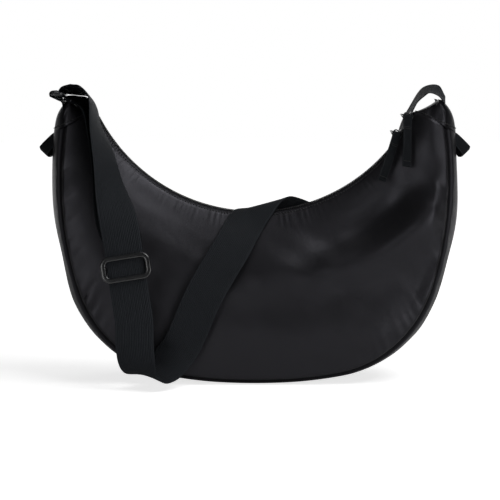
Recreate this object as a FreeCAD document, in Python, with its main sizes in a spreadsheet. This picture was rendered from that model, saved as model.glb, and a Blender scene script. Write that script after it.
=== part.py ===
import FreeCAD, Part
import os
import Sketcher
from math import acos, atan2, cos, exp, hypot, pi, radians, sin, sqrt, tan

# Half moon bag. +X is right, +Y is away from the front, +Z is up, and the base stands on Z = 0.
# The zip lies on one circle whose axis runs along Y, so the soft pieces are drawn in radial sections
# about that axis: each section has a radius and a depth, and stands at an angle from straight down.

Vector = FreeCAD.Vector
doc = FreeCAD.newDocument("half_moon_bag")
sheet = doc.addObject("Spreadsheet::Sheet", "Sizes")

# name, value in mm or degrees, what it is
DRIVING = (
    ("zip_radius", 180, "radius of the hollow edge that the zip follows"),
    ("zip_height", 172, "height of the lowest point of the zip"),
    ("zip_half_angle", 64.6, "angle from the middle of the zip to the tip cap seam"),
    ("tip_half_angle", 70.9, "angle from the middle of the zip to the very tip"),
    ("base_radius", 650, "outline: radius of the nearly flat base"),
    ("base_half_angle", 7.86, "outline: half angle of the base arc"),
    ("corner_radius", 123, "outline: radius of the lower corners"),
    ("corner_end_angle", 72.1, "outline: angle at which the corner meets the side"),
    ("side_radius", 386, "outline: radius of the sides"),
    ("base_depth", 90, "depth of the gusset at the base"),
    ("tip_depth", 46, "depth of the gusset at the tip cap seam"),
    ("end_depth", 42, "depth of the very tip"),
    ("mouth_width", 16, "distance between the two top edges across the zip"),
    ("panel_bulge", 16, "outward bow of a panel at the middle of the bag"),
    ("tip_bulge", 5, "outward bow of a panel at the tips"),
    ("fold_depth", 5.2, "height of the broad soft folds of a panel"),
    ("base_gusset_bulge", 2.5, "outward bow of the gusset at the base"),
    ("side_gusset_bulge", 10, "outward bow of the gusset at the sides"),
    ("base_sink", 0.8, "depth of base pressed flat where the bag stands"),
    ("shell_thickness", 1.6, "thickness of the padded outer fabric"),
    ("lining_thickness", 0.7, "thickness of the lining"),
    ("layer_gap", 0.9, "air between the outer fabric and the lining"),
    ("seam_gap", 0.25, "gap left in a seam between two panels"),
    ("tape_thickness", 0.7, "thickness of a zip tape"),
    ("coil_height", 2.2, "height of the zip coil above its tape"),
    ("coil_half_width", 3, "half of the width of the closed coil"),
    ("tooth_reach", 0.9, "how far a tooth passes the middle of the zip"),
    ("tooth_pitch", 3, "distance from one tooth to the next on one side"),
    ("tooth_length", 1.05, "length of one tooth along the zip"),
    ("slider_length", 13, "length of a zip slider"),
    ("slider_width", 9.6, "width of a zip slider"),
    ("plate_thickness", 1.3, "thickness of the slider plates"),
    ("bridge_length", 8, "length of the bridge on top of a slider"),
    ("bridge_width", 1.7, "width of the bridge and of its round bar"),
    ("bridge_height", 5.4, "height of the bridge above the slider plate"),
    ("bridge_thickness", 1.3, "thickness of the posts of the bridge"),
    ("right_slider_angle", 62.2, "angle at which the right slider is parked"),
    ("left_slider_angle", 55.5, "angle at which the left slider is parked"),
    ("pull_ring_reach", 18.5, "distance from the bridge to the straight bar of a pull ring"),
    ("pull_ring_lean", 18, "lean of a pull ring along the zip"),
    ("pull_ring_tilt", 18, "angle by which a pull ring hangs below level in front of its slider"),
    ("pull_wire_radius", 0.7, "radius of the wire of that ring"),
    ("pull_width", 8.4, "width of a folded zip pull"),
    ("pull_thickness", 1.1, "thickness of one layer of a zip pull"),
    ("webbing_width", 38, "width of the strap webbing"),
    ("webbing_thickness", 1.6, "thickness of the strap webbing"),
    ("fold_radius", 13, "radius of the loose fold at the foot of the strap"),
    ("crossing_radius", 11.5, "radius of the strap where it crosses the zip"),
    ("adjuster_length", 50, "length of the adjuster across the strap"),
    ("adjuster_height", 27, "height of the adjuster along the strap"),
    ("adjuster_bar", 4.2, "width of the two outer bars of the adjuster"),
    ("adjuster_thickness", 3.2, "thickness of the outer bars"),
    ("centre_bar_height", 7, "height of the middle bar along the strap"),
    ("centre_bar_thickness", 2.4, "thickness of the middle bar"),
    ("strap_clearance", 0.5, "clearance between the webbing and the hardware on it"),
    ("ring_window", 41, "inside length of the strap ring"),
    ("ring_gap", 6.4, "inside width of the strap ring"),
    ("ring_wire", 3.4, "thickness of the strap ring"),
    ("side_loop_width", 18, "width of the webbing of a side loop"),
    ("side_loop_thickness", 1.3, "thickness of the webbing of a side loop"),
    ("side_loop_height", 252, "height at which a side loop leaves the gusset"),
    ("side_loop_reach", 15, "how far a side loop stands out"),
    ("side_loop_drop", 19, "how far the end of a side loop hangs below its root"),
    ("side_loop_gap", 9.2, "inside width of a side loop"),
    ("side_loop_twist", 38, "angle by which the end of a side loop turns its face to the front"),
)
for row, (alias, value, meaning) in enumerate(DRIVING, start=1):
    sheet.set(f"A{row}", meaning)
    sheet.set(f"B{row}", str(value))
    sheet.setAlias(f"B{row}", alias)
doc.recompute()
size = {alias: float(sheet.get(alias)) for alias, _, _ in DRIVING}

AXIS_HEIGHT = size["zip_radius"] + size["zip_height"]
MOUTH = size["mouth_width"] / 2
finished = []


def keep(item, label):
    """Give a finished sub-part the name of its file."""
    item.Label = label
    finished.append(item)
    return item


def soft_piece(label, shape):
    """A sewn piece drawn about the zip axis, placed at the height of that axis."""
    item = doc.addObject("Part::Feature", label)
    item.Shape = shape
    item.Placement = FreeCAD.Placement(Vector(0, 0, AXIS_HEIGHT), FreeCAD.Rotation())
    item.setExpression("Placement.Base.z", "Sizes.zip_radius + Sizes.zip_height")
    return keep(item, label)


def free_piece(label, shape):
    """A piece drawn where it lies."""
    item = doc.addObject("Part::Feature", label)
    item.Shape = shape
    item.Placement = FreeCAD.Placement()
    return keep(item, label)


# Outline of the bag: base, corner and side arcs, each tangent to the next


def outline_arcs():
    """Centres and radii of the three arcs of the right half, with the angle where each one ends."""
    base_end = radians(size["base_half_angle"])
    corner_end = radians(size["corner_end_angle"])
    base = (0.0, size["base_radius"] - size["base_sink"])
    shift = size["base_radius"] - size["corner_radius"]
    corner = (base[0] + shift * sin(base_end), base[1] - shift * cos(base_end))
    shift = size["corner_radius"] - size["side_radius"]
    side = (corner[0] + shift * sin(corner_end), corner[1] - shift * cos(corner_end))
    return (
        (base, size["base_radius"], base_end),
        (corner, size["corner_radius"], corner_end),
        (side, size["side_radius"], pi),
    )


def outline_radius(angle):
    """Distance from the zip axis to the outline, along the ray at this angle from straight down."""
    across, down = sin(abs(angle)), -cos(abs(angle))
    for (x, z), radius, end in outline_arcs():
        z -= AXIS_HEIGHT
        along = x * across + z * down
        room = along**2 - x**2 - z**2 + radius**2
        if room < 0:
            continue
        reach = along + sqrt(room)
        if atan2(reach * across - x, z - reach * down) <= end:
            return reach
    return reach


def outline_side(height):
    """Half width of the bag at a height on its side arc."""
    (x, z), radius, _ = outline_arcs()[2]
    return x + sqrt(radius**2 - (height - z) ** 2)


# Radial sections


def arc_over(start, end, bow):
    """Circle through two points of a section that bows outward from their chord by the given height."""
    dx, dy = end[0] - start[0], end[1] - start[1]
    chord = hypot(dx, dy)
    radius = (chord**2 / 4 + bow**2) / (2 * bow)
    inward = radius - bow
    centre = (
        (start[0] + end[0]) / 2 - dy / chord * inward,
        (start[1] + end[1]) / 2 + dx / chord * inward,
    )
    return centre, radius


def crossing_point(first, second, near):
    """The meeting of two circles that lies nearer to a given point."""
    (ax, ay), ar = first
    (bx, by), br = second
    gap = hypot(bx - ax, by - ay)
    along = (ar**2 - br**2 + gap**2) / (2 * gap)
    aside = sqrt(max(ar**2 - along**2, 0))
    ux, uy = (bx - ax) / gap, (by - ay) / gap
    meets = [
        (ax + along * ux - turn * aside * uy, ay + along * uy + turn * aside * ux)
        for turn in (1, -1)
    ]
    return min(meets, key=lambda p: hypot(p[0] - near[0], p[1] - near[1]))


def blend(angle, middle, tip):
    """A size that falls smoothly from the middle of the bag to its tips."""
    share = min(abs(angle) / radians(size["zip_half_angle"]), 1)
    return tip + (middle - tip) * (1 - share**2)


def section(angle):
    """The front half of a radial section: corners, and the circles of the panel and of the gusset."""
    crest = outline_radius(angle)
    bulge = blend(angle, 0, 1)
    bulge = size["base_gusset_bulge"] + bulge * (size["side_gusset_bulge"] - size["base_gusset_bulge"])
    half_depth = blend(angle, size["base_depth"], size["tip_depth"]) / 2
    top = (size["zip_radius"], -MOUTH)
    seam = (crest - bulge, -half_depth)
    bow = blend(angle, size["panel_bulge"], size["tip_bulge"])
    panel = arc_over(top, seam, bow)
    gusset = arc_over(seam, (seam[0], half_depth), bulge)
    return top, seam, panel, gusset


# Soft folds of the panels, seen from the front: two ends, half width, and height as a share of the fold depth
FRONT_FOLDS = (
    ((196, 196), (150, 150), 20, 0.75),
    ((160, 156), (82, 114), 19, 0.95),
    ((92, 119), (12, 104), 21, 0.8),
    ((172, 196), (120, 158), 20, -0.85),
    ((132, 166), (52, 140), 19, -0.9),
    ((150, 118), (60, 78), 24, -0.55),
)
BACK_FOLDS = (
    ((-192, 196), (-120, 140), 20, 0.8),
    ((-130, 146), (-30, 108), 21, 0.75),
    ((-160, 206), (-96, 162), 18, -0.8),
)
FOLD_EASE = 30


def ease(distance):
    """0 at an edge of the cloth, and 1 from the ease distance inward."""
    share = min(max(distance / FOLD_EASE, 0), 1)
    return share**2 * (3 - 2 * share)


def fold_height(radius, angle, folds):
    """Height of the folds at a place: each is a bell across its line that fades beyond both ends."""
    x, z = radius * sin(angle), AXIS_HEIGHT - radius * cos(angle)
    total = 0
    for (ax, az), (bx, bz), width, share in folds:
        reach = hypot(bx - ax, bz - az)
        along = ((x - ax) * (bx - ax) + (z - az) * (bz - az)) / reach
        aside = ((z - az) * (bx - ax) - (x - ax) * (bz - az)) / reach
        beyond = max(-along, along - reach, 0)
        total += share * exp(-((aside / width) ** 2) - (beyond / width / 1.7) ** 2)
    return size["fold_depth"] * total


def on_circle(circle, turn):
    (x, y), radius = circle
    return x + radius * cos(turn), y + radius * sin(turn)


def turn_of(circle, point):
    return atan2(point[1] - circle[0][1], point[0] - circle[0][0])


def deeper(circle, depth):
    return circle[0], circle[1] - depth


def in_space(point, angle, side=1):
    """A section point as a place about the zip axis. Side is 1 for the front and -1 for the back."""
    radius, depth = point
    return Vector(radius * sin(angle), depth * side, -radius * cos(angle))


def arc_edge(circle, first, last, angle, side=1):
    """Edge along a circle of a section between two turns, the short way round."""
    if last - first > pi:
        last -= 2 * pi
    if first - last > pi:
        last += 2 * pi
    turns = (first, (first + last) / 2, last)
    places = [in_space(on_circle(circle, turn), angle, side) for turn in turns]
    return Part.Arc(*places).toShape()


def strip_wire(outer, inner, angle, side=1):
    """Closed outline of a thin layer: outer arc, end, inner arc and end. Each arc is circle, first, last."""
    a = arc_edge(*outer, angle, side)
    b = arc_edge(*inner, angle, side)
    ends = []
    for k in (1, 2):
        places = [in_space(on_circle(arc[0], arc[k]), angle, side) for arc in (outer, inner)]
        ends.append(Part.makeLine(*places))
    return Part.Wire([a, ends[1], b.reversed(), ends[0].reversed()])


def folded_edge(circle, first, last, angle, side, limits):
    """Edge along a circle of a section, raised and lowered by the panel's folds, with its two end places.

    The folds ease off towards the panel's own top edge and seam, whose two turns are the limits.
    """
    folds = FRONT_FOLDS if side > 0 else BACK_FOLDS
    (x, y), radius = circle
    places = []
    for i in range(PANEL_POINTS):
        turn = first + (last - first) * i / (PANEL_POINTS - 1)
        spot = on_circle(circle, turn)
        from_ends = ease(radius * abs(turn - limits[0])) * ease(radius * abs(turn - limits[1]))
        from_tip = ease(spot[0] * (END - abs(angle)))
        swell = fold_height(spot[0], angle, folds) * from_ends * from_tip
        places.append(in_space(on_circle(((x, y), radius + swell), turn), angle, side))
    edge = Part.BSplineCurve()
    edge.interpolate(Points=places, Parameters=[i / (PANEL_POINTS - 1) for i in range(PANEL_POINTS)])
    return edge.toShape(), places[0], places[-1]


def panel_wire(angle, side, depth, thickness, top_drop):
    """A layer of a front or back panel, from its top edge to the mitre at the gusset seam."""
    top, seam, panel, gusset = section(angle)
    limits = turn_of(panel, top), turn_of(panel, seam)
    edges = []
    for level in (depth, depth + thickness):
        circle = deeper(panel, level)
        corner = crossing_point(circle, deeper(gusset, level), seam)
        first = limits[0]
        last = turn_of(circle, corner)
        way = 1 if last > first else -1
        first += way * top_drop / circle[1]
        last -= way * size["seam_gap"] / circle[1]
        edges.append(folded_edge(circle, first, last, angle, side, limits))
    (outer, outer_top, outer_seam), (inner, inner_top, inner_seam) = edges
    foot, head = Part.makeLine(outer_seam, inner_seam), Part.makeLine(inner_top, outer_top)
    return Part.Wire([outer, foot, inner.reversed(), head])


def gusset_wire(angle, depth, thickness):
    """A layer of the gusset between its two mitred seams."""
    _, seam, panel, gusset = section(angle)
    arcs = []
    for level in (depth, depth + thickness):
        circle = deeper(gusset, level)
        corner = crossing_point(circle, deeper(panel, level), seam)
        turn = turn_of(circle, corner) + size["seam_gap"] / circle[1]
        arcs.append((circle, turn, -turn))
    return strip_wire(arcs[0], arcs[1], angle)


def stations(limit, count):
    """Angles of the sections of a loft, evenly spread from the left end to the right end."""
    return [limit * (2 * i / (count - 1) - 1) for i in range(count)]


def loft(wires, ruled=False):
    return Part.makeLoft(wires, True, ruled)


SECTION_COUNT = 47
PANEL_POINTS = 13
END = radians(size["zip_half_angle"])
TIP = radians(size["tip_half_angle"])
SHELL = size["shell_thickness"]
LINING_DEPTH = SHELL + size["layer_gap"]
LINING_DROP = 14


def panels():
    for side, name in ((1, "front"), (-1, "back")):
        outer = [panel_wire(a, side, 0, SHELL, 0) for a in stations(END, SECTION_COUNT)]
        soft_piece(f"{name}_panel", loft(outer))
        lining_end = END - radians(0.6)
        inner = [
            panel_wire(a, side, LINING_DEPTH, size["lining_thickness"], LINING_DROP)
            for a in stations(lining_end, SECTION_COUNT)
        ]
        soft_piece(f"{name}_lining", loft(inner))


def gussets():
    """The gusset is pressed flat where the bag stands, which gives it a true resting face."""
    shell = loft([gusset_wire(a, 0, SHELL) for a in stations(END, SECTION_COUNT)])
    below = Part.makeBox(600, 300, 50, Vector(-300, -150, -AXIS_HEIGHT - 50))
    soft_piece("gusset", shell.cut(below))
    lining_end = END - radians(0.6)
    thickness = size["lining_thickness"]
    inner = [gusset_wire(a, LINING_DEPTH, thickness) for a in stations(lining_end, SECTION_COUNT)]
    soft_piece("gusset_lining", loft(inner))


# Tip caps: hoods that close the two points of the half moon


def cap_ring(angle, share, inset):
    """Closed section of a cap. The share runs from 0 at the seam to 1 at the very tip."""
    room = outline_radius(TIP) - size["zip_radius"]
    low = size["zip_radius"] + 0.605 * room * share**0.8 + inset
    high = outline_radius(angle) - 0.28 * room * share**4 - inset
    half_depth = (size["tip_depth"] + (size["end_depth"] - size["tip_depth"]) * share) / 2 - inset
    mouth = MOUTH + 7 * share - inset
    bulge = size["side_gusset_bulge"] * (1 - 0.55 * share)
    top = (low, -mouth)
    seam = (high - bulge, -half_depth)
    front = arc_over(top, seam, max(size["tip_bulge"] * (1 - 0.7 * share), 0.5))
    outer = arc_over(seam, (seam[0], half_depth), bulge)
    seam_turn = turn_of(outer, seam)
    edges = [
        arc_edge(front, turn_of(front, top), turn_of(front, seam), angle),
        arc_edge(outer, seam_turn, -seam_turn, angle),
        arc_edge(front, turn_of(front, seam), turn_of(front, top), angle, -1),
        Part.makeLine(in_space(top, angle, -1), in_space(top, angle)),
    ]
    return Part.Wire(edges)


def tip_caps():
    """Hollow hoods. The strap or the ring tab comes out of a slit at the very tip."""
    gap = radians(0.1)
    reach = TIP - END - gap
    hollow = 0.8
    shares = [i / 5 for i in range(6)]
    slit_width = size["webbing_width"] + 1
    for way, name in ((-1, "left"), (1, "right")):
        start = END + gap
        outside = [cap_ring(way * (start + reach * s), s, 0) for s in shares]
        start = END - gap
        inside = [cap_ring(way * (start + hollow * reach * s), hollow * s, SHELL) for s in shares]
        slit = Part.makeBox(5.2, slit_width, 40, Vector(-2.6, -slit_width / 2, -10))
        slit.Placement = FreeCAD.Placement(way_out(way), FreeCAD.Rotation())
        soft_piece(f"{name}_tip_cap", loft(outside).cut(loft(inside)).cut(slit))


def tip_middle():
    """Where the webbing leaves the right tip: the middle of the open end of its cap, from the zip axis."""
    room = outline_radius(TIP) - size["zip_radius"]
    return in_space((size["zip_radius"] + 0.769 * room, 0), TIP)


def way_out(way):
    """Where the webbing leaves a tip, about the zip axis."""
    spot = tip_middle()
    return Vector(way * spot.x, 0, spot.z)


# Zip: tapes and coils turned about the zip axis


def turned(profile, first, last):
    """Turn a section profile about the zip axis from one angle to the other, in degrees."""
    face = Part.Face(Part.makePolygon([Vector(0, y, -r) for r, y in profile + profile[:1]]))
    face.rotate(Vector(0, 0, 0), Vector(0, 1, 0), -first)
    return face.revolve(Vector(0, 0, 0), Vector(0, 1, 0), first - last)


def zip_tapes():
    """Each tape lies flat beside the coil, then turns down inside the panel where it is sewn."""
    top = size["zip_radius"] + 0.55
    low = top + size["tape_thickness"]
    limit = size["zip_half_angle"] - 0.2
    inner, bend, leg = 1.2, MOUTH - 2.6, 8
    for side, name in ((-1, "front"), (1, "back")):
        profile = [
            (top, side * inner),
            (top, side * bend),
            (top + leg, side * (bend + leg * 0.5)),
            (low + leg, side * (bend + leg * 0.5 - size["tape_thickness"])),
            (low, side * (bend - 0.4)),
            (low, side * inner),
        ]
        soft_piece(f"{name}_zip_tape", turned(profile, -limit, limit))


def zip_coils():
    """Each coil is a rib with teeth that pass between those of the other side where the zip is closed."""
    low = size["zip_radius"] + 0.5
    high = low - size["coil_height"]
    limit = size["zip_half_angle"] - 1.6
    rib, wide = 1.2, size["coil_half_width"]
    pitch = size["tooth_pitch"] / size["zip_radius"]
    open_from = radians(size["left_slider_angle"]) - size["slider_length"] / 2 / size["zip_radius"]
    teeth = int((open_from + radians(limit)) / pitch) - 1
    for side, name in ((-1, "front"), (1, "back")):
        profile = [(r, side * y) for r, y in ((low, rib), (low, wide), (high, wide), (high, rib))]
        coil = turned(profile, -limit, limit)
        fingers = []
        for i in range(teeth):
            width = rib + 0.4 + size["tooth_reach"]
            finger = Part.makeBox(size["tooth_length"], width, size["coil_height"] - 0.3)
            start = -size["tooth_reach"] if side > 0 else -rib - 0.4
            finger.translate(Vector(-size["tooth_length"] / 2, start, -low + 0.15))
            angle = -radians(limit) + pitch * (i + (1 if side > 0 else 0.5))
            finger.rotate(Vector(0, 0, 0), Vector(0, 1, 0), -angle * 180 / pi)
            fingers.append(finger)
        soft_piece(f"{name}_zip_coil", coil.fuse(fingers))


def on_zip(angle_degrees, rise=0):
    """Placement on the zip: X along the zip to the right, Y to the back, Z towards the zip axis."""
    angle = radians(angle_degrees)
    spot = in_space((size["zip_radius"] - rise, 0), angle) + Vector(0, 0, AXIS_HEIGHT)
    return FreeCAD.Placement(spot, FreeCAD.Rotation(Vector(0, 1, 0), -angle_degrees))


def block(name, length, width, height, x, y, z):
    """A box of the document with its sizes and its near corner given as expressions of the sheet."""
    item = doc.addObject("Part::Box", name)
    item.setExpression("Length", length)
    item.setExpression("Width", width)
    item.setExpression("Height", height)
    item.setExpression("Placement.Base.x", x)
    item.setExpression("Placement.Base.y", y)
    item.setExpression("Placement.Base.z", z)
    return item


def round_bar(name):
    """The round bar on top of a slider's bridge, along the zip. The pull ring turns about it."""
    bar = doc.addObject("Part::Cylinder", name)
    bar.setExpression("Radius", "Sizes.bridge_width / 2")
    bar.setExpression("Height", "Sizes.bridge_length")
    bar.Placement = FreeCAD.Placement(Vector(), FreeCAD.Rotation(Vector(0, 1, 0), 90))
    bar.setExpression("Placement.Base.x", "-Sizes.bridge_length / 2")
    height = "2 + Sizes.plate_thickness + Sizes.bridge_height - Sizes.bridge_thickness / 2"
    bar.setExpression("Placement.Base.z", height)
    return bar


def joined(label, pieces, placement):
    item = doc.addObject("Part::MultiFuse", label)
    item.Shapes = pieces
    item.Refine = True
    item.Placement = placement
    return keep(item, label)


STOP_LENGTH = 2.4


def zip_stops():
    """Crimped bars across both coils, just inside the tip caps."""
    limit = size["zip_half_angle"] - 0.8
    for name, angle in (("left", -limit), ("right", limit)):
        bar = doc.addObject("Part::Box", f"{name}_zip_stop")
        bar.Length = STOP_LENGTH
        bar.setExpression("Width", "2 * Sizes.coil_half_width + 1")
        bar.setExpression("Height", "Sizes.coil_height")
        corner = Vector(-STOP_LENGTH / 2, -size["coil_half_width"] - 0.5, -0.5)
        place = on_zip(angle)
        place.Base = place.multVec(corner)
        bar.Placement = place
        keep(bar, f"{name}_zip_stop")


def sliders():
    """Two plates joined by a wedge between the open coils, side lips over the coil, and a bridge on top."""
    for name in ("left", "right"):
        tag = f"{name}_slider"
        length, width, plate = "Sizes.slider_length", "Sizes.slider_width", "Sizes.plate_thickness"
        half_length, half_width = "-Sizes.slider_length / 2", "-Sizes.slider_width / 2"
        wedge_x = "0.5" if name == "left" else "-5.5"
        pieces = [
            block(f"{tag}_top", length, width, plate, half_length, half_width, "2"),
            block(f"{tag}_foot", length, width, plate, half_length, half_width, f"-1.6 - {plate}"),
            block(f"{tag}_wedge", "5", "1.8", "3.8", wedge_x, "-0.9", "-1.7"),
            block(f"{tag}_front_lip", length, "1.3", "2.1", half_length, half_width, "0"),
            block(f"{tag}_back_lip", length, "1.3", "2.1", half_length, "Sizes.slider_width / 2 - 1.3", "0"),
            round_bar(f"{tag}_bar"),
        ]
        posts = {
            "low": "-Sizes.bridge_length / 2",
            "high": "Sizes.bridge_length / 2 - Sizes.bridge_thickness",
        }
        for end, x in posts.items():
            pieces.append(
                block(
                    f"{tag}_{end}_post",
                    "Sizes.bridge_thickness",
                    "Sizes.bridge_width",
                    "Sizes.bridge_height",
                    x,
                    "-Sizes.bridge_width / 2",
                    "2 + Sizes.plate_thickness - 0.1",
                )
            )
        joined(tag, pieces, on_zip(size[f"{name}_slider_angle"]))


def bridge_middle():
    """Height of the middle of the bridge bar above the zip."""
    return 2 + size["plate_thickness"] + size["bridge_height"] - size["bridge_thickness"] / 2


def ring_out():
    """Direction from the bridge to the straight bar of a pull ring, seen from its slider."""
    tilt = radians(size["pull_ring_tilt"])
    return Vector(0, -cos(tilt), -sin(tilt))


def ring_up():
    """Direction of the straight bar of a pull ring, seen from its slider."""
    lean, tilt = radians(size["pull_ring_lean"]), radians(size["pull_ring_tilt"])
    return Vector(-sin(lean), -cos(lean) * sin(tilt), cos(lean) * cos(tilt))


# How far the middle of the straight bar of a pull ring lies above the middle of the ring's other end
RING_SHIFT = 3


def ring_eye():
    """Middle of the straight bar of a pull ring, seen from its slider."""
    return Vector(0, 0, bridge_middle()) + ring_out() * size["pull_ring_reach"] + ring_up() * RING_SHIFT


def rounded_loop(corners, radii):
    """Closed wire through corners, each rounded with an arc."""
    edges = []
    ends = []
    count = len(corners)
    for i, radius in enumerate(radii):
        here = corners[i]
        back = (corners[i - 1] - here).normalize()
        ahead = (corners[(i + 1) % count] - here).normalize()
        half = acos(back.dot(ahead)) / 2
        inset = radius / tan(half)
        middle = (back + ahead).normalize()
        top = here + middle * (radius / sin(half) - radius)
        ends.append((here + back * inset, here + ahead * inset))
        edges.append(Part.Arc(ends[-1][0], top, ends[-1][1]).toShape())
    lines = [Part.makeLine(ends[i][1], ends[(i + 1) % count][0]) for i in range(count)]
    return Part.Wire([edge for pair in zip(edges, lines) for edge in pair])


def pull_rings():
    """Wire links round the bridges, tipped over to the front, with a straight bar for the pull."""
    eye = ring_eye()
    half = size["pull_width"] / 2 + 1.6
    up = ring_up()
    behind = size["bridge_width"] / 2 + size["pull_wire_radius"] + 0.3
    back = Vector(0, 0, bridge_middle()) - ring_out() * behind
    corners = [back + up * 2.7, back - up * 1.9, eye - up * half, eye + up * half]
    path = rounded_loop(corners, (1.5, 1.5, 1.3, 1.3))
    start = path.Edges[0].valueAt(path.Edges[0].FirstParameter)
    run = path.Edges[0].tangentAt(path.Edges[0].FirstParameter)
    wire = Part.Wire([Part.makeCircle(size["pull_wire_radius"], start, run)])
    ring = path.makePipeShell([wire], True, True)
    for name in ("left", "right"):
        item = doc.addObject("Part::Feature", f"{name}_pull_ring")
        item.Shape = ring
        item.Placement = on_zip(size[f"{name}_slider_angle"])
        keep(item, f"{name}_pull_ring")


# Webbing


def smooth(route, steps):
    """Frames along a smooth curve through a route of (place, width direction) points."""
    frames = []
    count = len(route)
    for i in range(count - 1):
        before, here = route[max(i - 1, 0)], route[i]
        there, after = route[i + 1], route[min(i + 2, count - 1)]
        for k in range(steps):
            s = k / steps
            frames.append(tuple(curve(before[j], here[j], there[j], after[j], s) for j in (0, 1)))
    frames.append(route[-1])
    return frames


def curve(a, b, c, d, s):
    """A cubic through b and c that leaves b along a to c and reaches c along b to d."""
    leave, reach = (c - a) * 0.5, (d - b) * 0.5
    return (
        b * (2 * s**3 - 3 * s**2 + 1)
        + leave * (s**3 - 2 * s**2 + s)
        + c * (3 * s**2 - 2 * s**3)
        + reach * (s**3 - s**2)
    )


def square_frames(frames):
    """Turn each width direction square to the run of the curve, and add the direction of thickness."""
    result = []
    for i, (spot, across) in enumerate(frames):
        run = frames[min(i + 1, len(frames) - 1)][0] - frames[max(i - 1, 0)][0]
        run.normalize()
        across = across - run * across.dot(run)
        across.normalize()
        result.append((spot, across, run.cross(across)))
    return result


def ribbon(frames, width, thickness):
    """Solid of a flat band: the same rectangle set square at each frame."""
    wires = []
    for spot, across, through in frames:
        w, t = across * (width / 2), through * (thickness / 2)
        wires.append(Part.makePolygon([spot + w + t, spot - w + t, spot - w - t, spot + w - t, spot + w + t]))
    return loft(wires, ruled=True)


def rolled(centre, axis, radius, lead, first, last, count, over):
    """Route of a band that rolls round an axis lying in the XZ plane while it moves along that axis.

    Over is 1 where the band passes above the axis and -1 where it passes below. The turn runs from
    first to last, in degrees, and is 0 at the top or bottom of the roll.
    """
    axis = Vector(*axis)
    axis.normalize()
    rise = Vector(-axis.z, 0, axis.x) * over
    route = []
    for i in range(count):
        turn = radians(first + (last - first) * i / (count - 1))
        around = (rise * cos(turn) + Vector(0, over, 0) * sin(turn)) * radius
        spot = centre + axis * (lead * radius * turn) + around
        round_it = Vector(0, over, 0) * cos(turn) - rise * sin(turn)
        route.append((spot, axis - round_it * lead))
    return route


def on_bag(x, y, z):
    """A place chosen on the bag as first drawn, moved with the tips, the zip and the depth of the base."""
    tip = tip_middle() + Vector(0, 0, AXIS_HEIGHT)
    share = (z - DRAWN_ZIP) / (DRAWN_TIP.z - DRAWN_ZIP)
    if share < 0:
        height = z * size["zip_height"] / DRAWN_ZIP
    else:
        height = size["zip_height"] + share * (tip.z - size["zip_height"])
    return Vector(x * tip.x / DRAWN_TIP.x, y * size["base_depth"] / DRAWN_DEPTH, height)


def hand_route(rows):
    return [(on_bag(*place), Vector(*across)) for place, across in rows]


# The right tip, the zip and the depth of the base when the places along the strap were chosen
DRAWN_TIP = Vector(193.5, 0, 285)
DRAWN_ZIP = 172
DRAWN_DEPTH = 90


def strap_route():
    """The strap from the right tip to the adjuster, in named stretches that share their end points."""
    back = hand_route(
        (
            ((193.5, 0, 276), (0, -1, 0)),
            ((193.5, 0, 287), (0, -1, -0.04)),
            ((189.5, 0, 297.5), (0, -1, -0.18)),
            ((179.5, 1, 302), (0, -1, -0.28)),
            ((168.5, 13, 295), (0, -1, -0.22)),
            ((160.5, 28.5, 279), (0, -1, -0.08)),
            ((153.5, 34, 257), (0, -1, 0)),
            ((148, 40.5, 232), (0, -1, 0)),
            ((143, 50, 200), (0, -1, 0)),
            ((136, 58, 168), (0, -1, 0)),
            ((118, 64, 142), (0.1, -1, 0.2)),
            ((92, 60, 134), (0.3, -0.75, 0.6)),
        )
    )
    climb = hand_route((((68, 44.5, 146), (0.5, -0.25, 0.8)), ((45, 27, 161), (0.52, -0.35, 0.78))))
    above_zip = Vector(10, 0, size["zip_height"] - 3.4)
    crossing = rolled(above_zip, (0.966, 0, 0.26), size["crossing_radius"], 1.01, 58, -58, 7, 1)
    leg = hand_route(
        (
            ((-21.6, -36.5, 142), (0.85, -0.15, -0.5)),
            ((-50.3, -50.5, 93.7), (0.88, -0.05, -0.46)),
            ((-70.5, -55.5, 48), (0.9, 0, -0.42)),
        )
    )
    foot = on_bag(-102, -67, 27.5)
    fold = rolled(foot, (0.989, 0, -0.145), size["fold_radius"], -0.45, -90, 90, 7, -1)
    rise = hand_route(
        (
            ((-116.5, -80, 50), (1, 0, 0.13)),
            (ADJUSTER_SPOT, (1, 0, 0.13)),
            ((-134.1, -59.4, 162.8), (1, 0.03, 0.13)),
            ((-142.7, -48.5, 198), (0.83, 0.52, 0.1)),
            ((-149.5, -42.5, 232.5), (0.5, 0.86, 0.12)),
            ((-153, -28, 263.5), (0.12, 0.94, 0.32)),
            ((-161.5, -12, 286.5), (0, 1, 0.3)),
            ((-172.5, -4, 298), (0, 1, 0.28)),
        )
    )
    bar = ring_bar()
    wrap = size["ring_wire"] / 2 + size["webbing_thickness"] / 2 + 0.3
    turn = hand_route(
        (
            ((-185, 0, 303), (0, 1, 0.28)),
            ((-193.5, 0, 301.5), (0, 1, 0.18)),
            ((-198, 0, 297.5), (0, 1, 0.06)),
        )
    )
    for degrees in (180, 202, 225, 248, 270):
        a = radians(degrees)
        turn.append((bar + Vector(cos(a), 0, sin(a)) * wrap, Vector(0, 1, 0)))
    return {
        "strap_back_run": back,
        "strap_crossing": climb + crossing + leg,
        "strap_left_leg": fold + rise,
        "strap_ring_turn": turn,
    }


ADJUSTER_SPOT = (-127.8, -67, 122)


def ring_bar():
    """Middle of the inner bar of the strap ring."""
    return on_bag(-194.5, 0, 293)


STEP_COUNT = 3


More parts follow.
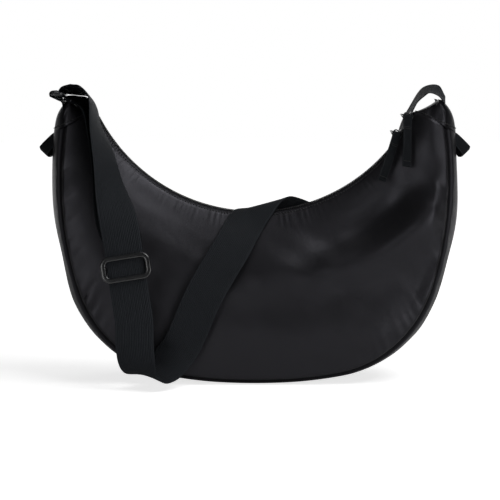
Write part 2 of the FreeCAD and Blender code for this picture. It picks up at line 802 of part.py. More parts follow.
def straps():
    """One band along the whole route, cut where one stretch ends and the next begins."""
    stretches = strap_route()
    under = under_route(stretches["strap_left_leg"], stretches["strap_ring_turn"])
    route = sum(stretches.values(), [])
    frames = square_frames(smooth(route, STEP_COUNT))
    start = 0
    names = list(stretches)
    for name in names:
        last = name == names[-1]
        stop = start + STEP_COUNT * len(stretches[name])
        piece = frames[start:] if last else frames[start : stop + 1]
        free_piece(name, ribbon(piece, size["webbing_width"], size["webbing_thickness"]))
        start = stop
    free_piece(
        "strap_under_layer",
        ribbon(square_frames(smooth(under, STEP_COUNT)), size["webbing_width"], size["webbing_thickness"]),
    )


def under_route(leg, turn):
    """The layer that runs back from the ring to the adjuster, a little inside the outer layer."""
    first = turn[-1][0]
    route = [(first + Vector(0.5, 0, 0), Vector(0, 1, 0))]
    route += hand_route((((-187, -0.5, 290), (0, 1, 0)), ((-177.5, -4, 288.3), (0, 1, 0.08))))
    whole = square_frames(leg)
    inside = (2.6, 2.6, 2.8, 3.5, 3.4)
    for (spot, across, through), depth in zip(reversed(whole[-6:-1]), inside):
        route.append((spot + through * depth, across))
    across, along, outward = adjuster_axes()
    for height, depth in ((30, 2.9), (9, 2.5)):
        route.append((on_bag(*ADJUSTER_SPOT) + along * height - outward * depth, across))
    return route


# Hardware on the strap


def adjuster_axes():
    """Across, along and outward directions of the strap at the adjuster."""
    along = on_bag(-134.1, -59.4, 162.8) - on_bag(-116.5, -80, 50)
    along.normalize()
    across = Vector(1, 0, 0.13)
    across = across - along * across.dot(along)
    across.normalize()
    return across, along, across.cross(along)


def strap_placement():
    across, along, outward = adjuster_axes()
    turn = FreeCAD.Rotation(across, along, outward, "ZXY")
    return FreeCAD.Placement(on_bag(*ADJUSTER_SPOT), turn)


def plane_of(body, role):
    return [p for p in body.Origin.OriginFeatures if p.Role == role][0]


def sketch_on(body, name, height):
    """A sketch parallel to the body's XY plane at a height given as an expression."""
    sketch = body.newObject("Sketcher::SketchObject", name)
    sketch.AttachmentSupport = (plane_of(body, "XY_Plane"), "")
    sketch.MapMode = "FlatFace"
    sketch.setExpression("AttachmentOffset.Base.z", height)
    return sketch


def rectangle(sketch, width, height, middle="0"):
    """A rectangle of a sketch about a middle on its X axis, its sizes bound to expressions."""
    corners = [Vector(-9, -5, 0), Vector(9, -5, 0), Vector(9, 5, 0), Vector(-9, 5, 0)]
    lines = [
        sketch.addGeometry(Part.LineSegment(corners[i], corners[(i + 1) % 4]), False) for i in range(4)
    ]
    for i in range(4):
        sketch.addConstraint(Sketcher.Constraint("Coincident", lines[i], 2, lines[(i + 1) % 4], 1))
    for i, kind in ((0, "Horizontal"), (1, "Vertical"), (2, "Horizontal"), (3, "Vertical")):
        sketch.addConstraint(Sketcher.Constraint(kind, lines[i]))
    wide = sketch.addConstraint(Sketcher.Constraint("DistanceX", lines[0], 1, lines[0], 2, 18))
    tall = sketch.addConstraint(Sketcher.Constraint("DistanceY", lines[1], 1, lines[1], 2, 10))
    left = sketch.addConstraint(Sketcher.Constraint("DistanceX", -1, 1, lines[0], 2, 9))
    low = sketch.addConstraint(Sketcher.Constraint("DistanceY", -1, 1, lines[2], 1, 5))
    sketch.setExpression(f"Constraints[{wide}]", width)
    sketch.setExpression(f"Constraints[{tall}]", height)
    sketch.setExpression(f"Constraints[{left}]", f"{middle} + ({width}) / 2")
    sketch.setExpression(f"Constraints[{low}]", f"({height}) / 2")


def pad(body, sketch, name, length):
    item = body.newObject("PartDesign::Pad", name)
    item.Profile = sketch
    item.setExpression("Length", length)
    return item


def strap_adjuster():
    """Outer frame above the webbing, two cheeks, and a lowered middle bar below the webbing."""
    body = doc.addObject("PartDesign::Body", "strap_adjuster")
    above = "Sizes.webbing_thickness / 2 + Sizes.strap_clearance"
    below = "Sizes.webbing_thickness * 1.5 + 3 * Sizes.strap_clearance + Sizes.centre_bar_thickness"
    window = "Sizes.webbing_width + 4 * Sizes.strap_clearance"
    cheek = f"(Sizes.adjuster_length - ({window})) / 2"
    frame = sketch_on(body, "adjuster_frame_sketch", above)
    rectangle(frame, "Sizes.adjuster_length", "Sizes.adjuster_height")
    rectangle(frame, window, "Sizes.adjuster_height - 2 * Sizes.adjuster_bar")
    pad(body, frame, "adjuster_frame", "Sizes.adjuster_thickness")
    for name, sign in (("left", "-"), ("right", "")):
        side = sketch_on(body, f"{name}_cheek_sketch", f"-({below})")
        rectangle(
            side, cheek, "Sizes.adjuster_height * 0.6", f"{sign}(Sizes.adjuster_length - {cheek}) / 2"
        )
        pad(body, side, f"{name}_cheek", f"{below} + {above} + 0.5")
    bar = sketch_on(body, "centre_bar_sketch", f"-({below})")
    rectangle(bar, "Sizes.adjuster_length - 2", "Sizes.centre_bar_height")
    pad(body, bar, "centre_bar", "Sizes.centre_bar_thickness")
    body.Placement = strap_placement()
    doc.recompute()
    keep(body, "strap_adjuster")


def strap_end_loop():
    """Webbing sewn round the middle bar of the adjuster."""
    gap = size["strap_clearance"]
    thick = size["webbing_thickness"] - 0.4
    high = -size["webbing_thickness"] / 2 - gap * 0.8
    low = -size["webbing_thickness"] * 1.5 - 3 * gap - size["centre_bar_thickness"] - gap * 0.6 - thick
    half = size["centre_bar_height"] / 2 + gap + thick
    width = size["webbing_width"]
    outer = Part.makeBox(width, 2 * half, high - low, Vector(-width / 2, -half, low))
    inner = Part.makeBox(
        width, 2 * (half - thick), high - low - 2 * thick, Vector(-width / 2, -half + thick, low + thick)
    )
    loop = outer.cut(inner)
    item = doc.addObject("Part::Feature", "strap_end_loop")
    item.Shape = loop
    item.Placement = strap_placement()
    keep(item, "strap_end_loop")


def strap_ring():
    """Rectangular ring with rounded edges. The strap turns round its inner bar, the tab holds the outer."""
    body = doc.addObject("PartDesign::Body", "strap_ring")
    outline = sketch_on(body, "ring_sketch", "-Sizes.ring_wire / 2")
    rectangle(outline, "Sizes.ring_gap + 2 * Sizes.ring_wire", "Sizes.ring_window + 2 * Sizes.ring_wire")
    rectangle(outline, "Sizes.ring_gap", "Sizes.ring_window")
    ring = pad(body, outline, "ring_pad", "Sizes.ring_wire")
    doc.recompute()
    level = [abs(edge.tangentAt(edge.FirstParameter).z) < 0.5 for edge in ring.Shape.Edges]
    edges = [f"Edge{i}" for i, is_level in enumerate(level, start=1) if is_level]
    round_off = body.newObject("PartDesign::Fillet", "ring_rounding")
    round_off.Base = (ring, edges)
    round_off.setExpression("Radius", "Sizes.ring_wire * 0.4")
    body.Tip = round_off
    middle = ring_bar() - Vector((size["ring_gap"] + size["ring_wire"]) / 2, 0, 0)
    body.Placement = FreeCAD.Placement(middle, FreeCAD.Rotation())
    doc.recompute()
    keep(body, "strap_ring")


def ring_tab():
    """Webbing from inside the left tip, round the outer bar of the ring and back."""
    bar = ring_bar() - Vector(size["ring_gap"] + size["ring_wire"], 0, 0)
    thick = 1.2
    wrap = size["ring_wire"] / 2 + thick / 2 + 0.85
    across = Vector(0, 1, 0)
    route = [(on_bag(-194.4, 0, 275), across), (on_bag(-194.7, 0, 284), across)]
    for degrees in (-25, 5, 35, 65, 90, 120, 150, 180, 210, 235):
        turn = radians(degrees)
        route.append((bar + Vector(cos(turn), 0, sin(turn)) * wrap, across))
    route.append((on_bag(-196.9, 0, 286.2), across))
    frames = square_frames(smooth(route, 2))
    free_piece("ring_tab", ribbon(frames, size["webbing_width"], thick))


def pull_strips():
    """Folded pulls that hang from the rings, in front of the panel: two layers and the turn between."""
    hang = {"left": Vector(-14, -10.5, -46.5), "right": Vector(-1, -14.5, -49)}
    thick = size["pull_thickness"]
    wrap = size["pull_wire_radius"] + thick / 2 + 0.35
    for name, fall in hang.items():
        place = on_zip(size[f"{name}_slider_angle"])
        eye = place.multVec(ring_eye())
        end = eye + fall
        run = Vector(fall).normalize()
        bar = place.Rotation.multVec(ring_up() * -1)
        through = run.cross(bar).normalize()
        across = through.cross(run)
        square = bar.cross(through)
        apart = through * (thick * 0.56)
        route = [(end + apart, across), (eye + run * 9 + apart, across)]
        for degrees in (-40, 0, 30, 60, 90, 120, 150, 180, 220):
            turn = radians(degrees)
            route.append((eye + through * (cos(turn) * wrap) - square * (sin(turn) * wrap), bar))
        route += [(eye + run * 9 - apart, across), (end - apart, across)]
        strip = ribbon(square_frames(smooth(route, 2)), size["pull_width"], thick)
        free_piece(f"{name}_pull_strip", strip)


def side_loops():
    """Teardrop loops of narrow webbing that hang outward from the gusset and turn a little to the front."""
    thick = size["side_loop_thickness"]
    for way, name in ((-1, "left"), (1, "right")):
        height = size["side_loop_height"]
        root = Vector(way * (outline_side(height) + 1.4), 0, height)
        end = root + Vector(way * size["side_loop_reach"], 0, -size["side_loop_drop"])
        run = end - root
        run.normalize()
        aside = Vector(-run.z * way, 0, run.x * way)
        radius = (size["side_loop_gap"] + thick) / 2
        eye = end - run * radius
        spread = radius * 0.55
        rows = [(root, 0, thick * 0.6), (root + run * 6, 0.4, spread)]
        for degrees in (90, 45, 0, -45, -90):
            a = radians(degrees)
            rows.append((eye + run * (cos(a) * radius), 1, sin(a) * radius))
        rows += [(root + run * 6, 0.4, -spread), (root, 0, -thick * 0.6)]
        route = []
        for spot, share, rise in rows:
            twist = radians(size["side_loop_twist"]) * share
            face = aside * cos(twist) - Vector(0, sin(twist), 0)
            route.append((spot + face * rise, aside * sin(twist) + Vector(0, cos(twist), 0)))
        frames = square_frames(smooth(route, STEP_COUNT))
        free_piece(f"{name}_side_loop", ribbon(frames, size["side_loop_width"], thick))


def main():
    panels()
    gussets()
    tip_caps()
    zip_tapes()
    zip_coils()
    zip_stops()
    sliders()
    pull_rings()
    pull_strips()
    straps()
    strap_adjuster()
    strap_end_loop()
    strap_ring()
    ring_tab()
    side_loops()
    doc.recompute()
    os.makedirs("parts", exist_ok=True)
    for item in doc.Objects:
        if "Invalid" in item.State or "Error" in item.State:
            raise RuntimeError(f"{item.Label} did not build")
    for item in finished:
        if item.Shape.isNull() or not item.Shape.isValid():
            raise RuntimeError(f"{item.Label} has no valid shape")
        item.Shape.exportStep(f"parts/{item.Label}.step")


main()
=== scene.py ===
from math import cos, pi, radians, sin

import bpy
import numpy as np
from bpy.props import FloatProperty, FloatVectorProperty, PointerProperty
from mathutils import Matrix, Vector


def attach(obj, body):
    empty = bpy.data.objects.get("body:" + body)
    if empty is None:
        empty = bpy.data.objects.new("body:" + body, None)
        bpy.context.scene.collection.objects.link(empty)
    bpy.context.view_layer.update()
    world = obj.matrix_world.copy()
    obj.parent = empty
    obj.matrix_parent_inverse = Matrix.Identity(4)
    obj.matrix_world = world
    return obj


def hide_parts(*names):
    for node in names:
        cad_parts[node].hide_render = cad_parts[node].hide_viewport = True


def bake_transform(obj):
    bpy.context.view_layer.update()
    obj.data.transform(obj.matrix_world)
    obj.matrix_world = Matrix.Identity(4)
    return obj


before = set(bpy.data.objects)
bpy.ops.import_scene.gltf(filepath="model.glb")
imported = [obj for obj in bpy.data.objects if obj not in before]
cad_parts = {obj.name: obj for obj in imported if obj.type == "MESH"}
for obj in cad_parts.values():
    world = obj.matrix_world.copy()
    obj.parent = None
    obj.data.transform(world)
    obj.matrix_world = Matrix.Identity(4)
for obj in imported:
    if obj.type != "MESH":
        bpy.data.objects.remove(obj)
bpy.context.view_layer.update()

bl_info = {
    "name": "Half Moon Bag",
    "version": (1, 0, 0),
    "blender": (4, 5, 0),
    "location": "View3D > Sidebar > Bag",
    "description": "Builds a crescent nylon bag with a curved zip and a webbing strap",
    "category": "Add Mesh",
}


# Sizes and colours that a user would change


def length(name, description, default):
    """A length in metres."""
    return FloatProperty(name=name, description=description, default=default, unit="LENGTH", precision=5)


def angle(name, description, degrees):
    """An angle, given in degrees and kept in radians."""
    return FloatProperty(name=name, description=description, default=radians(degrees), subtype="ANGLE")


def watts(name, description, default):
    """A lamp's power in watts."""
    return FloatProperty(name=name, description=description, default=default, unit="POWER")


def share(name, description, default):
    """A number from nothing to all."""
    limits = {"min": 0, "max": 1}
    return FloatProperty(name=name, description=description, default=default, subtype="FACTOR", **limits)


def tint(name, description, default):
    """A linear colour."""
    return FloatVectorProperty(name=name, description=description, default=default, size=3, subtype="COLOR")


class BagShape(bpy.types.PropertyGroup):
    """Sizes of the sewn body."""

    zip_radius: length("Zip radius", "Radius of the hollow edge that the zip follows", 0.180)
    zip_height: length("Zip height", "Height of the lowest point of the zip", 0.172)
    zip_half_angle: angle("Zip half angle", "Angle from the middle of the zip to the hood seam", 64.6)
    tip_half_angle: angle("Tip half angle", "Angle from the middle of the zip to the very tip", 70.9)
    base_radius: length("Base radius", "Radius of the nearly flat base", 0.650)
    base_half_angle: angle("Base half angle", "Half angle of the base arc", 7.86)
    corner_radius: length("Corner radius", "Radius of the lower corners", 0.123)
    corner_end_angle: angle("Corner end", "Angle at which a corner meets the side", 72.1)
    side_radius: length("Side radius", "Radius of the sides", 0.386)
    base_sink: length("Base sink", "Depth of base pressed flat where the bag stands", 0.0008)
    base_depth: length("Base depth", "Depth of the gusset at the base", 0.090)
    tip_depth: length("Tip depth", "Depth of the gusset at the hood seam", 0.046)
    end_depth: length("End depth", "Depth of the very tip", 0.042)
    mouth: length("Half mouth", "Half of the distance between the two top edges", 0.008)
    panel_bow: length("Panel bow", "Outward bow of a panel at the middle", 0.016)
    tip_bow: length("Tip bow", "Outward bow of a panel at the tips", 0.005)
    base_bulge: length("Base bulge", "Outward bow of the gusset at the base", 0.0025)
    side_bulge: length("Side bulge", "Outward bow of the gusset at the sides", 0.0125)
    shell: length("Shell", "Thickness of the outer cloth", 0.0016)
    fold_depth: length("Fold depth", "Depth of the broad soft folds", 0.0070)
    pucker_depth: length("Pucker depth", "Depth of the small gathers along the seams", 0.0027)
    seam_sink: length("Seam sink", "Depth of the valley along a seam", 0.0034)


class ZipShape(bpy.types.PropertyGroup):
    """Sizes of the zip, its sliders and its pulls."""

    coil_pitch: length("Coil pitch", "Distance from one turn of the coil to the next", 0.0019)
    coil_wire: length("Coil wire", "Radius of the coil's wire", 0.00036)
    right_angle: angle("Right slider", "Angle at which the right slider is parked", 62.2)
    left_angle: angle("Left slider", "Angle at which the left slider is parked", 55.5)
    slider_length: length("Slider length", "Length of a slider", 0.013)
    slider_width: length("Slider width", "Width of a slider", 0.0096)
    plate: length("Plate", "Thickness of a slider's plates", 0.0013)
    bridge_height: length("Bridge height", "Height of the bridge over the plate", 0.0054)
    bridge_thickness: length("Bridge thickness", "Thickness of the bridge bar", 0.0013)
    ring_reach: length("Ring reach", "Distance from the bridge to the far bar of a pull ring", 0.0185)
    ring_lean: angle("Ring lean", "Lean of a pull ring along the zip", 18)
    ring_tilt: angle("Ring tilt", "How far a pull ring droops at the front", 18)
    ring_shift: length("Ring shift", "Height of a pull ring's far bar above its near end", 0.003)
    ring_wire: length("Ring wire", "Radius of the wire of a pull ring", 0.0007)
    pull_width: length("Pull width", "Width of a folded pull", 0.0084)
    pull_thickness: length("Pull thickness", "Thickness of one layer of a pull", 0.0011)


class StrapShape(bpy.types.PropertyGroup):
    """Sizes of the webbing and of what is on it."""

    width: length("Webbing width", "Width of the strap", 0.038)
    thickness: length("Webbing thickness", "Thickness of the strap", 0.0016)
    crossing_radius: length("Crossing radius", "Radius of the strap over the zip", 0.0115)
    rib_pitch: length("Rib pitch", "Distance between the ribs of the webbing", 0.0017)
    pick_pitch: length("Pick pitch", "Distance between the cross threads", 0.0012)
    adjuster_length: length("Adjuster length", "Length of the adjuster across the strap", 0.050)
    adjuster_height: length("Adjuster height", "Height of the adjuster along the strap", 0.027)
    adjuster_bar: length("Adjuster bar", "Width of the adjuster's outer bars", 0.0053)
    adjuster_thickness: length("Adjuster thickness", "Thickness of the outer bars", 0.0032)
    clearance: length("Clearance", "Room between the webbing and the hardware", 0.0005)
    ring_window: length("Ring window", "Inside length of the strap ring", 0.041)
    ring_gap: length("Ring gap", "Inside width of the strap ring", 0.0064)
    ring_wire: length("Ring wire", "Thickness of the strap ring", 0.0034)
    loop_width: length("Side loop width", "Width of a side loop", 0.015)
    loop_thickness: length("Side loop thickness", "Thickness of a side loop's webbing", 0.0013)
    loop_gap: length("Side loop gap", "Inside width of a side loop", 0.0060)
    loop_twist: angle("Side loop twist", "How far the end of a side loop turns to the front", 50)


class BagFinish(bpy.types.PropertyGroup):
    """Colours and gloss."""

    nylon: tint("Nylon", "Colour of the outer cloth", (0.0052, 0.0050, 0.0058))
    lining: tint("Lining", "Colour of the lining", (0.016, 0.016, 0.017))
    webbing: tint("Webbing", "Colour of the strap", (0.0078, 0.0086, 0.0095))
    # The layer under the strap is the strap's webbing painted darker: painted shade from the outer layer
    # over it
    inner: tint("Shaded inner webbing", "Colour of the layer under the strap", (0.0040, 0.0044, 0.0050))
    narrow: tint("Narrow webbing", "Colour of the pulls and side loops", (0.0050, 0.0056, 0.0060))
    tape: tint("Tape", "Colour of the zip tape", (0.010, 0.010, 0.011))
    coil: tint("Coil", "Colour of the zip coil", (0.012, 0.012, 0.013))
    metal: tint("Metal", "Colour of the sliders and rings", (0.022, 0.023, 0.025))
    plastic: tint("Plastic", "Colour of the adjuster", (0.010, 0.0105, 0.0115))
    thread: tint("Thread", "Colour of the stitches", (0.006, 0.006, 0.0065))
    nylon_roughness: share("Nylon roughness", "Roughness of the outer cloth", 0.40)
    thread_count: FloatProperty(
        name="Thread count", description="Threads of the outer cloth in a metre", default=2200, min=100
    )


class BagStage(bpy.types.PropertyGroup):
    """Camera, floor and lamps."""

    camera_distance: length("Camera distance", "Distance from the camera to the bag", 1.700)
    camera_rise: angle("Camera rise", "Angle of the camera above level", 6.0)
    camera_lens: FloatProperty(name="Lens", description="Focal length in millimetres", default=118.8)
    floor: tint("Floor", "Colour of the floor", (0.90, 0.90, 0.90))
    key_power: watts("Key", "Power of the upper lamp", 13)
    right_power: watts("Right", "Power of the lamp at the right", 8)
    left_power: watts("Left", "Power of the lamp at the left", 6)
    top_power: watts("Top", "Power of the overhead lamp", 3)


class HalfMoonBag(bpy.types.PropertyGroup):
    """All settings of the bag."""

    shape: PointerProperty(type=BagShape)
    zip: PointerProperty(type=ZipShape)
    strap: PointerProperty(type=StrapShape)
    finish: PointerProperty(type=BagFinish)
    stage: PointerProperty(type=BagStage)


def settings():
    """The bag's settings, kept on the scene."""
    return bpy.context.scene.half_moon_bag


# Meshes from grids of points

PLAIN_STEP = 0.001  # flat size of one quad where a piece has no flat coordinates of its own
SHARP_ANGLE = radians(48)  # edges that bend more than this stay crisp


class Surface:
    """A grid of points with its own flat coordinates and a mask that is 1 at rims.

    The first direction runs along the piece and the second round it. A ladder end joins each
    point of the last ring to the one opposite, and a flat end fills the ring with one face.
    """

    def __init__(self, points, flat=None, rim=None, loop_along=False, loop_round=True, end="ladder"):
        self.points = np.asarray(points, float)
        rows, columns = self.points.shape[:2]
        shape = (rows + loop_along, columns + loop_round)
        if flat is None:
            flat = np.moveaxis(np.indices(shape), 0, -1) * PLAIN_STEP
        self.flat = np.broadcast_to(np.asarray(flat, float), shape + (2,))
        self.rim = np.zeros((rows, columns)) if rim is None else np.broadcast_to(rim, (rows, columns))
        self.loop_along, self.loop_round, self.end = loop_along, loop_round, end

    def faces(self):
        """Quads as rows of four point numbers, the flat coordinates of their corners, and flat ends."""
        rows, columns = self.points.shape[:2]
        i, j = np.indices((rows - 1 + self.loop_along, columns - 1 + self.loop_round)).reshape(2, -1)
        corners = ((0, 0), (1, 0), (1, 1), (0, 1))
        quads = np.stack([(i + a) % rows * columns + (j + b) % columns for a, b in corners], -1)
        flats = np.stack([self.flat[i + a, j + b] for a, b in corners], 1)
        ends = []
        if self.loop_along or not self.loop_round:
            return quads, flats, ends
        if self.end == "ladder":
            near = np.arange(columns // 2 - 1)
            far = columns - 1 - near
            first = np.stack([near, near + 1, far - 1, far], -1)
            last = first[:, ::-1]
            quads = np.concatenate([quads, first, last + (rows - 1) * columns])
            flats = np.concatenate([flats, self.flat[0][first], self.flat[-2][last]])
        else:
            ring = np.arange(columns)
            ends = [ring, ring[::-1] + (rows - 1) * columns]
        return quads, flats, ends


def inside_out(points, quads, ends):
    """True where the faces of a closed surface point inwards: its signed volume is negative."""
    a, b, c, d = (points[quads[:, k]] for k in range(4))
    volume = np.sum(a * np.cross(b, c)) + np.sum(a * np.cross(c, d))
    for ring in ends:
        p = points[ring]
        volume += np.sum(p[0] * np.cross(p[1:-1], p[2:]))
    return volume < 0


def mesh_of(name, surfaces):
    """One mesh of several surfaces, with faces outward, a UV map and a rim attribute."""
    points, loops, counts, flats, rims = [], [], [], [], []
    start = 0
    for surface in surfaces:
        here = surface.points.reshape(-1, 3)
        quads, corner_flats, ends = surface.faces()
        if inside_out(here, quads, ends):
            quads, corner_flats = quads[:, ::-1], corner_flats[:, ::-1]
            ends = [ring[::-1] for ring in ends]
        points.append(here)
        rims.append(surface.rim.ravel())
        loops.append(quads.ravel() + start)
        flats.append(corner_flats.reshape(-1, 2))
        counts.append(np.full(len(quads), 4))
        for ring in ends:
            loops.append(ring + start)
            flats.append(np.zeros((len(ring), 2)))
            counts.append(np.array([len(ring)]))
        start += len(here)
    points, loops, counts = np.concatenate(points), np.concatenate(loops), np.concatenate(counts)
    mesh = bpy.data.meshes.new(name)
    mesh.vertices.add(len(points))
    mesh.vertices.foreach_set("co", points.astype(np.float32).ravel())
    mesh.loops.add(len(loops))
    mesh.loops.foreach_set("vertex_index", loops.astype(np.int32))
    mesh.polygons.add(len(counts))
    mesh.polygons.foreach_set("loop_start", (np.cumsum(counts) - counts).astype(np.int32))
    mesh.update(calc_edges=True)
    flat = mesh.uv_layers.new(name="Flat")
    flat.data.foreach_set("uv", np.concatenate(flats).astype(np.float32).ravel())
    mask = mesh.attributes.new("rim", "FLOAT", "POINT")
    mask.data.foreach_set("value", np.concatenate(rims).astype(np.float32))
    mesh.polygons.foreach_set("use_smooth", np.ones(len(counts), bool))
    mesh.set_sharp_from_angle(angle=SHARP_ANGLE)
    mesh.validate()
    return mesh


def add_piece(name, surfaces, material, body, nodes=(), bend=None):
    """Make a piece and give it its finish; it rides on a body, or, if a bend is given, stays where it is.
    """
    obj = bpy.data.objects.new(name, mesh_of(name, surfaces))
    bpy.context.scene.collection.objects.link(obj)
    obj.data.materials.append(material)
    if bend:
        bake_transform(obj)
    else:
        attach(obj, body)
    if nodes:
        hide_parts(*nodes)
    return obj


# Small maths

ODD_PHASES = (12.9898, 78.233, 43758.5453)  # steps by wave and by seed, and the spread of the phases


def unit(vectors):
    """Vectors at length 1."""
    return vectors / np.maximum(np.linalg.norm(vectors, axis=-1, keepdims=True), 1e-12)


def smoothstep(low, high, value):
    """0 below low, 1 above high, and a cubic ease between them."""
    t = np.clip((value - low) / (high - low), 0, 1)
    return t * t * (3 - 2 * t)


def bump(distance, width):
    """A bell of height 1 at distance 0."""
    return np.exp(-((distance / width) ** 2))


def ripple(along, waves, seed):
    """Uneven waves along a line: sines of several lengths with fixed odd phases, scaled to about 1."""
    by_wave, by_seed, spread = ODD_PHASES
    odd = np.sin(np.arange(1, len(waves) + 1) * by_wave + seed * by_seed) * spread
    phases = np.modf(odd)[0] * 2 * pi
    total = sum(np.sin(2 * pi * along / wave + phase) for wave, phase in zip(waves, phases))
    return total / len(waves) ** 0.5


# The sewn body: radial sections about the zip's axis

BULGE_TURNS = (0.10, 0.66)  # turns between which the gusset's bulge grows from base to side
PUCKER_TURNS = (0.15, 0.6)  # turns between which a panel's seam gathers set in
SIDE_TURNS = (0.35, 0.8)  # turns between which the gusset's gathers and slack set in
ZIP_WAVES = (0.0085, 0.0117, 0.0163)  # lengths of the gathers along the zip
SEAM_WAVES = (0.0143, 0.0208, 0.0331)  # lengths of the gathers along the seams
PATCH_WAVES = (0.110, 0.173)  # lengths over which the seam's gathers come and go
SLACK_WAVES = ((0.047, 0.071), (0.038, 0.059))  # lengths of the slack of a panel, aslant and upright
SIDE_WAVES = (0.029, 0.047, 0.083)  # lengths of the slack of the gusset
SEAM_SEEDS = {True: 3, False: 7}  # wave numbers of the front and the back seam
ZIP_SHARE, SIDE_SHARE = 0.13, 0.34  # depth of the zip's and the gusset's gathers in pucker depths
PANEL_SLACK, GUSSET_SLACK = 0.0004, 0.0011  # depth of the slack of a panel and of the gusset
PANEL_TUCK, GUSSET_TUCK = 0.012, 0.008  # turns by which panel and gusset run on under the hoods
STRAP_FADE = 0.034  # distance from the strap within which ridges fade
STRAP_DENT = (0.20, 0.022)  # depth in fold depths, and half width, of the dent under the strap
STITCH_DEPTH = 0.0024  # distance of the topstitching below the zip's edge
GROOVE = (0.0005, 0.0010)  # depth and half width of the groove along the topstitching
PANEL_WIDTH = 0.16  # width of a panel from zip to seam, about
LINING_GAP, LINING_CLOTH = 0.0044, 0.0006  # depth of the panels' linings and their thickness
GUSSET_GAP = 0.0034  # depth of the gusset's lining

# Broad folds of a panel as seen from the front: start and end in metres, half width, and height as a
# share of the fold depth, which is below 0 in a valley
FRONT_FOLDS = (
    ((0.196, 0.200), (0.150, 0.150), 0.023, 0.80),
    ((0.160, 0.156), (0.082, 0.116), 0.023, 0.95),
    ((0.092, 0.119), (0.012, 0.104), 0.024, 0.85),
    ((0.168, 0.204), (0.122, 0.164), 0.023, -0.85),
    ((0.132, 0.168), (0.082, 0.138), 0.022, -0.80),
    ((0.150, 0.112), (0.000, 0.082), 0.026, -0.60),
    ((0.174, 0.246), (0.180, 0.190), 0.025, 0.45),
    ((0.146, 0.220), (0.140, 0.190), 0.018, -0.25),
    ((-0.110, 0.150), (-0.070, 0.126), 0.018, 0.14),
    ((-0.112, 0.120), (-0.076, 0.098), 0.016, -0.16),
    ((-0.150, 0.120), (-0.095, 0.070), 0.022, 0.20),
    ((0.020, 0.052), (0.120, 0.050), 0.026, 0.45),
)
BACK_FOLDS = (
    ((-0.192, 0.196), (-0.120, 0.140), 0.020, 0.80),
    ((-0.130, 0.146), (-0.030, 0.108), 0.021, 0.75),
    ((-0.160, 0.206), (-0.096, 0.162), 0.018, -0.80),
    ((0.182, 0.226), (0.176, 0.160), 0.013, 0.55),
    ((0.164, 0.206), (0.150, 0.150), 0.013, -0.60),
    ((0.060, 0.150), (0.120, 0.090), 0.018, 0.60),
    ((0.030, 0.140), (0.092, 0.084), 0.016, -0.55),
    ((-0.090, 0.066), (0.050, 0.056), 0.026, 0.45),
)


def axis_height():
    """Height of the axis that the zip's arc turns about."""
    s = settings().shape
    return s.zip_radius + s.zip_height


def about_axis(radius, depth, turn):
    """Place of a section point: radius from the zip's axis, depth along Y, turn from straight down."""
    radius, depth, turn = np.broadcast_arrays(radius, depth, turn)
    return np.stack([radius * np.sin(turn), depth, axis_height() - radius * np.cos(turn)], -1)


def outline_radius(turn):
    """Distance from the zip's axis to the outline: the first of base, corner and side arc on the ray."""
    s = settings().shape
    shift = s.base_radius - s.corner_radius
    base = np.array([0.0, s.base_radius - s.base_sink])
    corner = base + shift * np.array([sin(s.base_half_angle), -cos(s.base_half_angle)])
    shift = s.corner_radius - s.side_radius
    side = corner + shift * np.array([sin(s.corner_end_angle), -cos(s.corner_end_angle)])
    across, down = np.sin(np.abs(turn)), -np.cos(turn)
    result = np.zeros_like(across)
    arcs = (
        (base, s.base_radius, s.base_half_angle),
        (corner, s.corner_radius, s.corner_end_angle),
        (side, s.side_radius, pi),
    )
    for (x, z), radius, end in reversed(arcs):
        z = z - axis_height()
        along = x * across + z * down
        room = along**2 - x**2 - z**2 + radius**2
        reach = along + np.sqrt(np.maximum(room, 0))
        fits = (room >= 0) & (np.arctan2(reach * across - x, z - reach * down) <= end)
        result = np.where(fits, reach, result)
    return result


def section(turn):
    """Crest radius, gusset bulge, half depth and panel bow of the section at a turn."""
    s = settings().shape
    fall = np.clip(np.abs(turn) / s.zip_half_angle, 0, 1) ** 2
    bulge = s.base_bulge + (s.side_bulge - s.base_bulge) * smoothstep(*BULGE_TURNS, np.abs(turn))
    half_depth = (s.base_depth + (s.tip_depth - s.base_depth) * fall) / 2
    bow = s.panel_bow + (s.tip_bow - s.panel_bow) * fall
    return outline_radius(turn), bulge, half_depth, bow


def seam_inward(turn):
    """Direction in a section, as radius and depth, that points from the front seam into the bag."""
    crest, bulge, half_depth, bow = section(turn)
    s = settings().shape
    chord = unit(np.stack([crest - bulge - s.zip_radius, s.mouth - half_depth], -1))
    lean = 4 * bow / (crest - bulge - s.zip_radius)
    panel = np.stack([chord[..., 1] + lean * chord[..., 0], -chord[..., 0] + lean * chord[..., 1]], -1)
    gusset = unit(np.stack([np.ones_like(crest), -2 * bulge / half_depth], -1))
    return -unit(unit(panel) + gusset)


def panel_drape(x, z, front):
    """Height of a panel's broad folds at a place seen from the front, as a share of the fold depth.

    Each fold is a bell across its line, which fades out beyond both ends.
    """
    depth = np.zeros_like(x)
    for (ax, az), (bx, bz), width, height in FRONT_FOLDS if front else BACK_FOLDS:
        run = np.array([bx - ax, bz - az])
        reach = np.hypot(*run)
        along = ((x - ax) * run[0] + (z - az) * run[1]) / reach
        aside = (-(x - ax) * run[1] + (z - az) * run[0]) / reach
        over = np.maximum(np.maximum(-along, along - reach), 0)
        depth += height * bump(aside, width) * bump(over, width * 1.7)
    if not front:
        return depth
    from_strap = np.hypot(*strap_aside(x, z))
    depth = np.where(depth > 0, depth * (1 - bump(from_strap, STRAP_FADE)), depth)
    return depth - STRAP_DENT[0] * bump(from_strap, STRAP_DENT[1])


def seam_gathers(arc, front, power):
    """Uneven gathers along an outer seam, from 0 in a pinch upwards."""
    return np.abs(ripple(arc, SEAM_WAVES, SEAM_SEEDS[front])) ** power


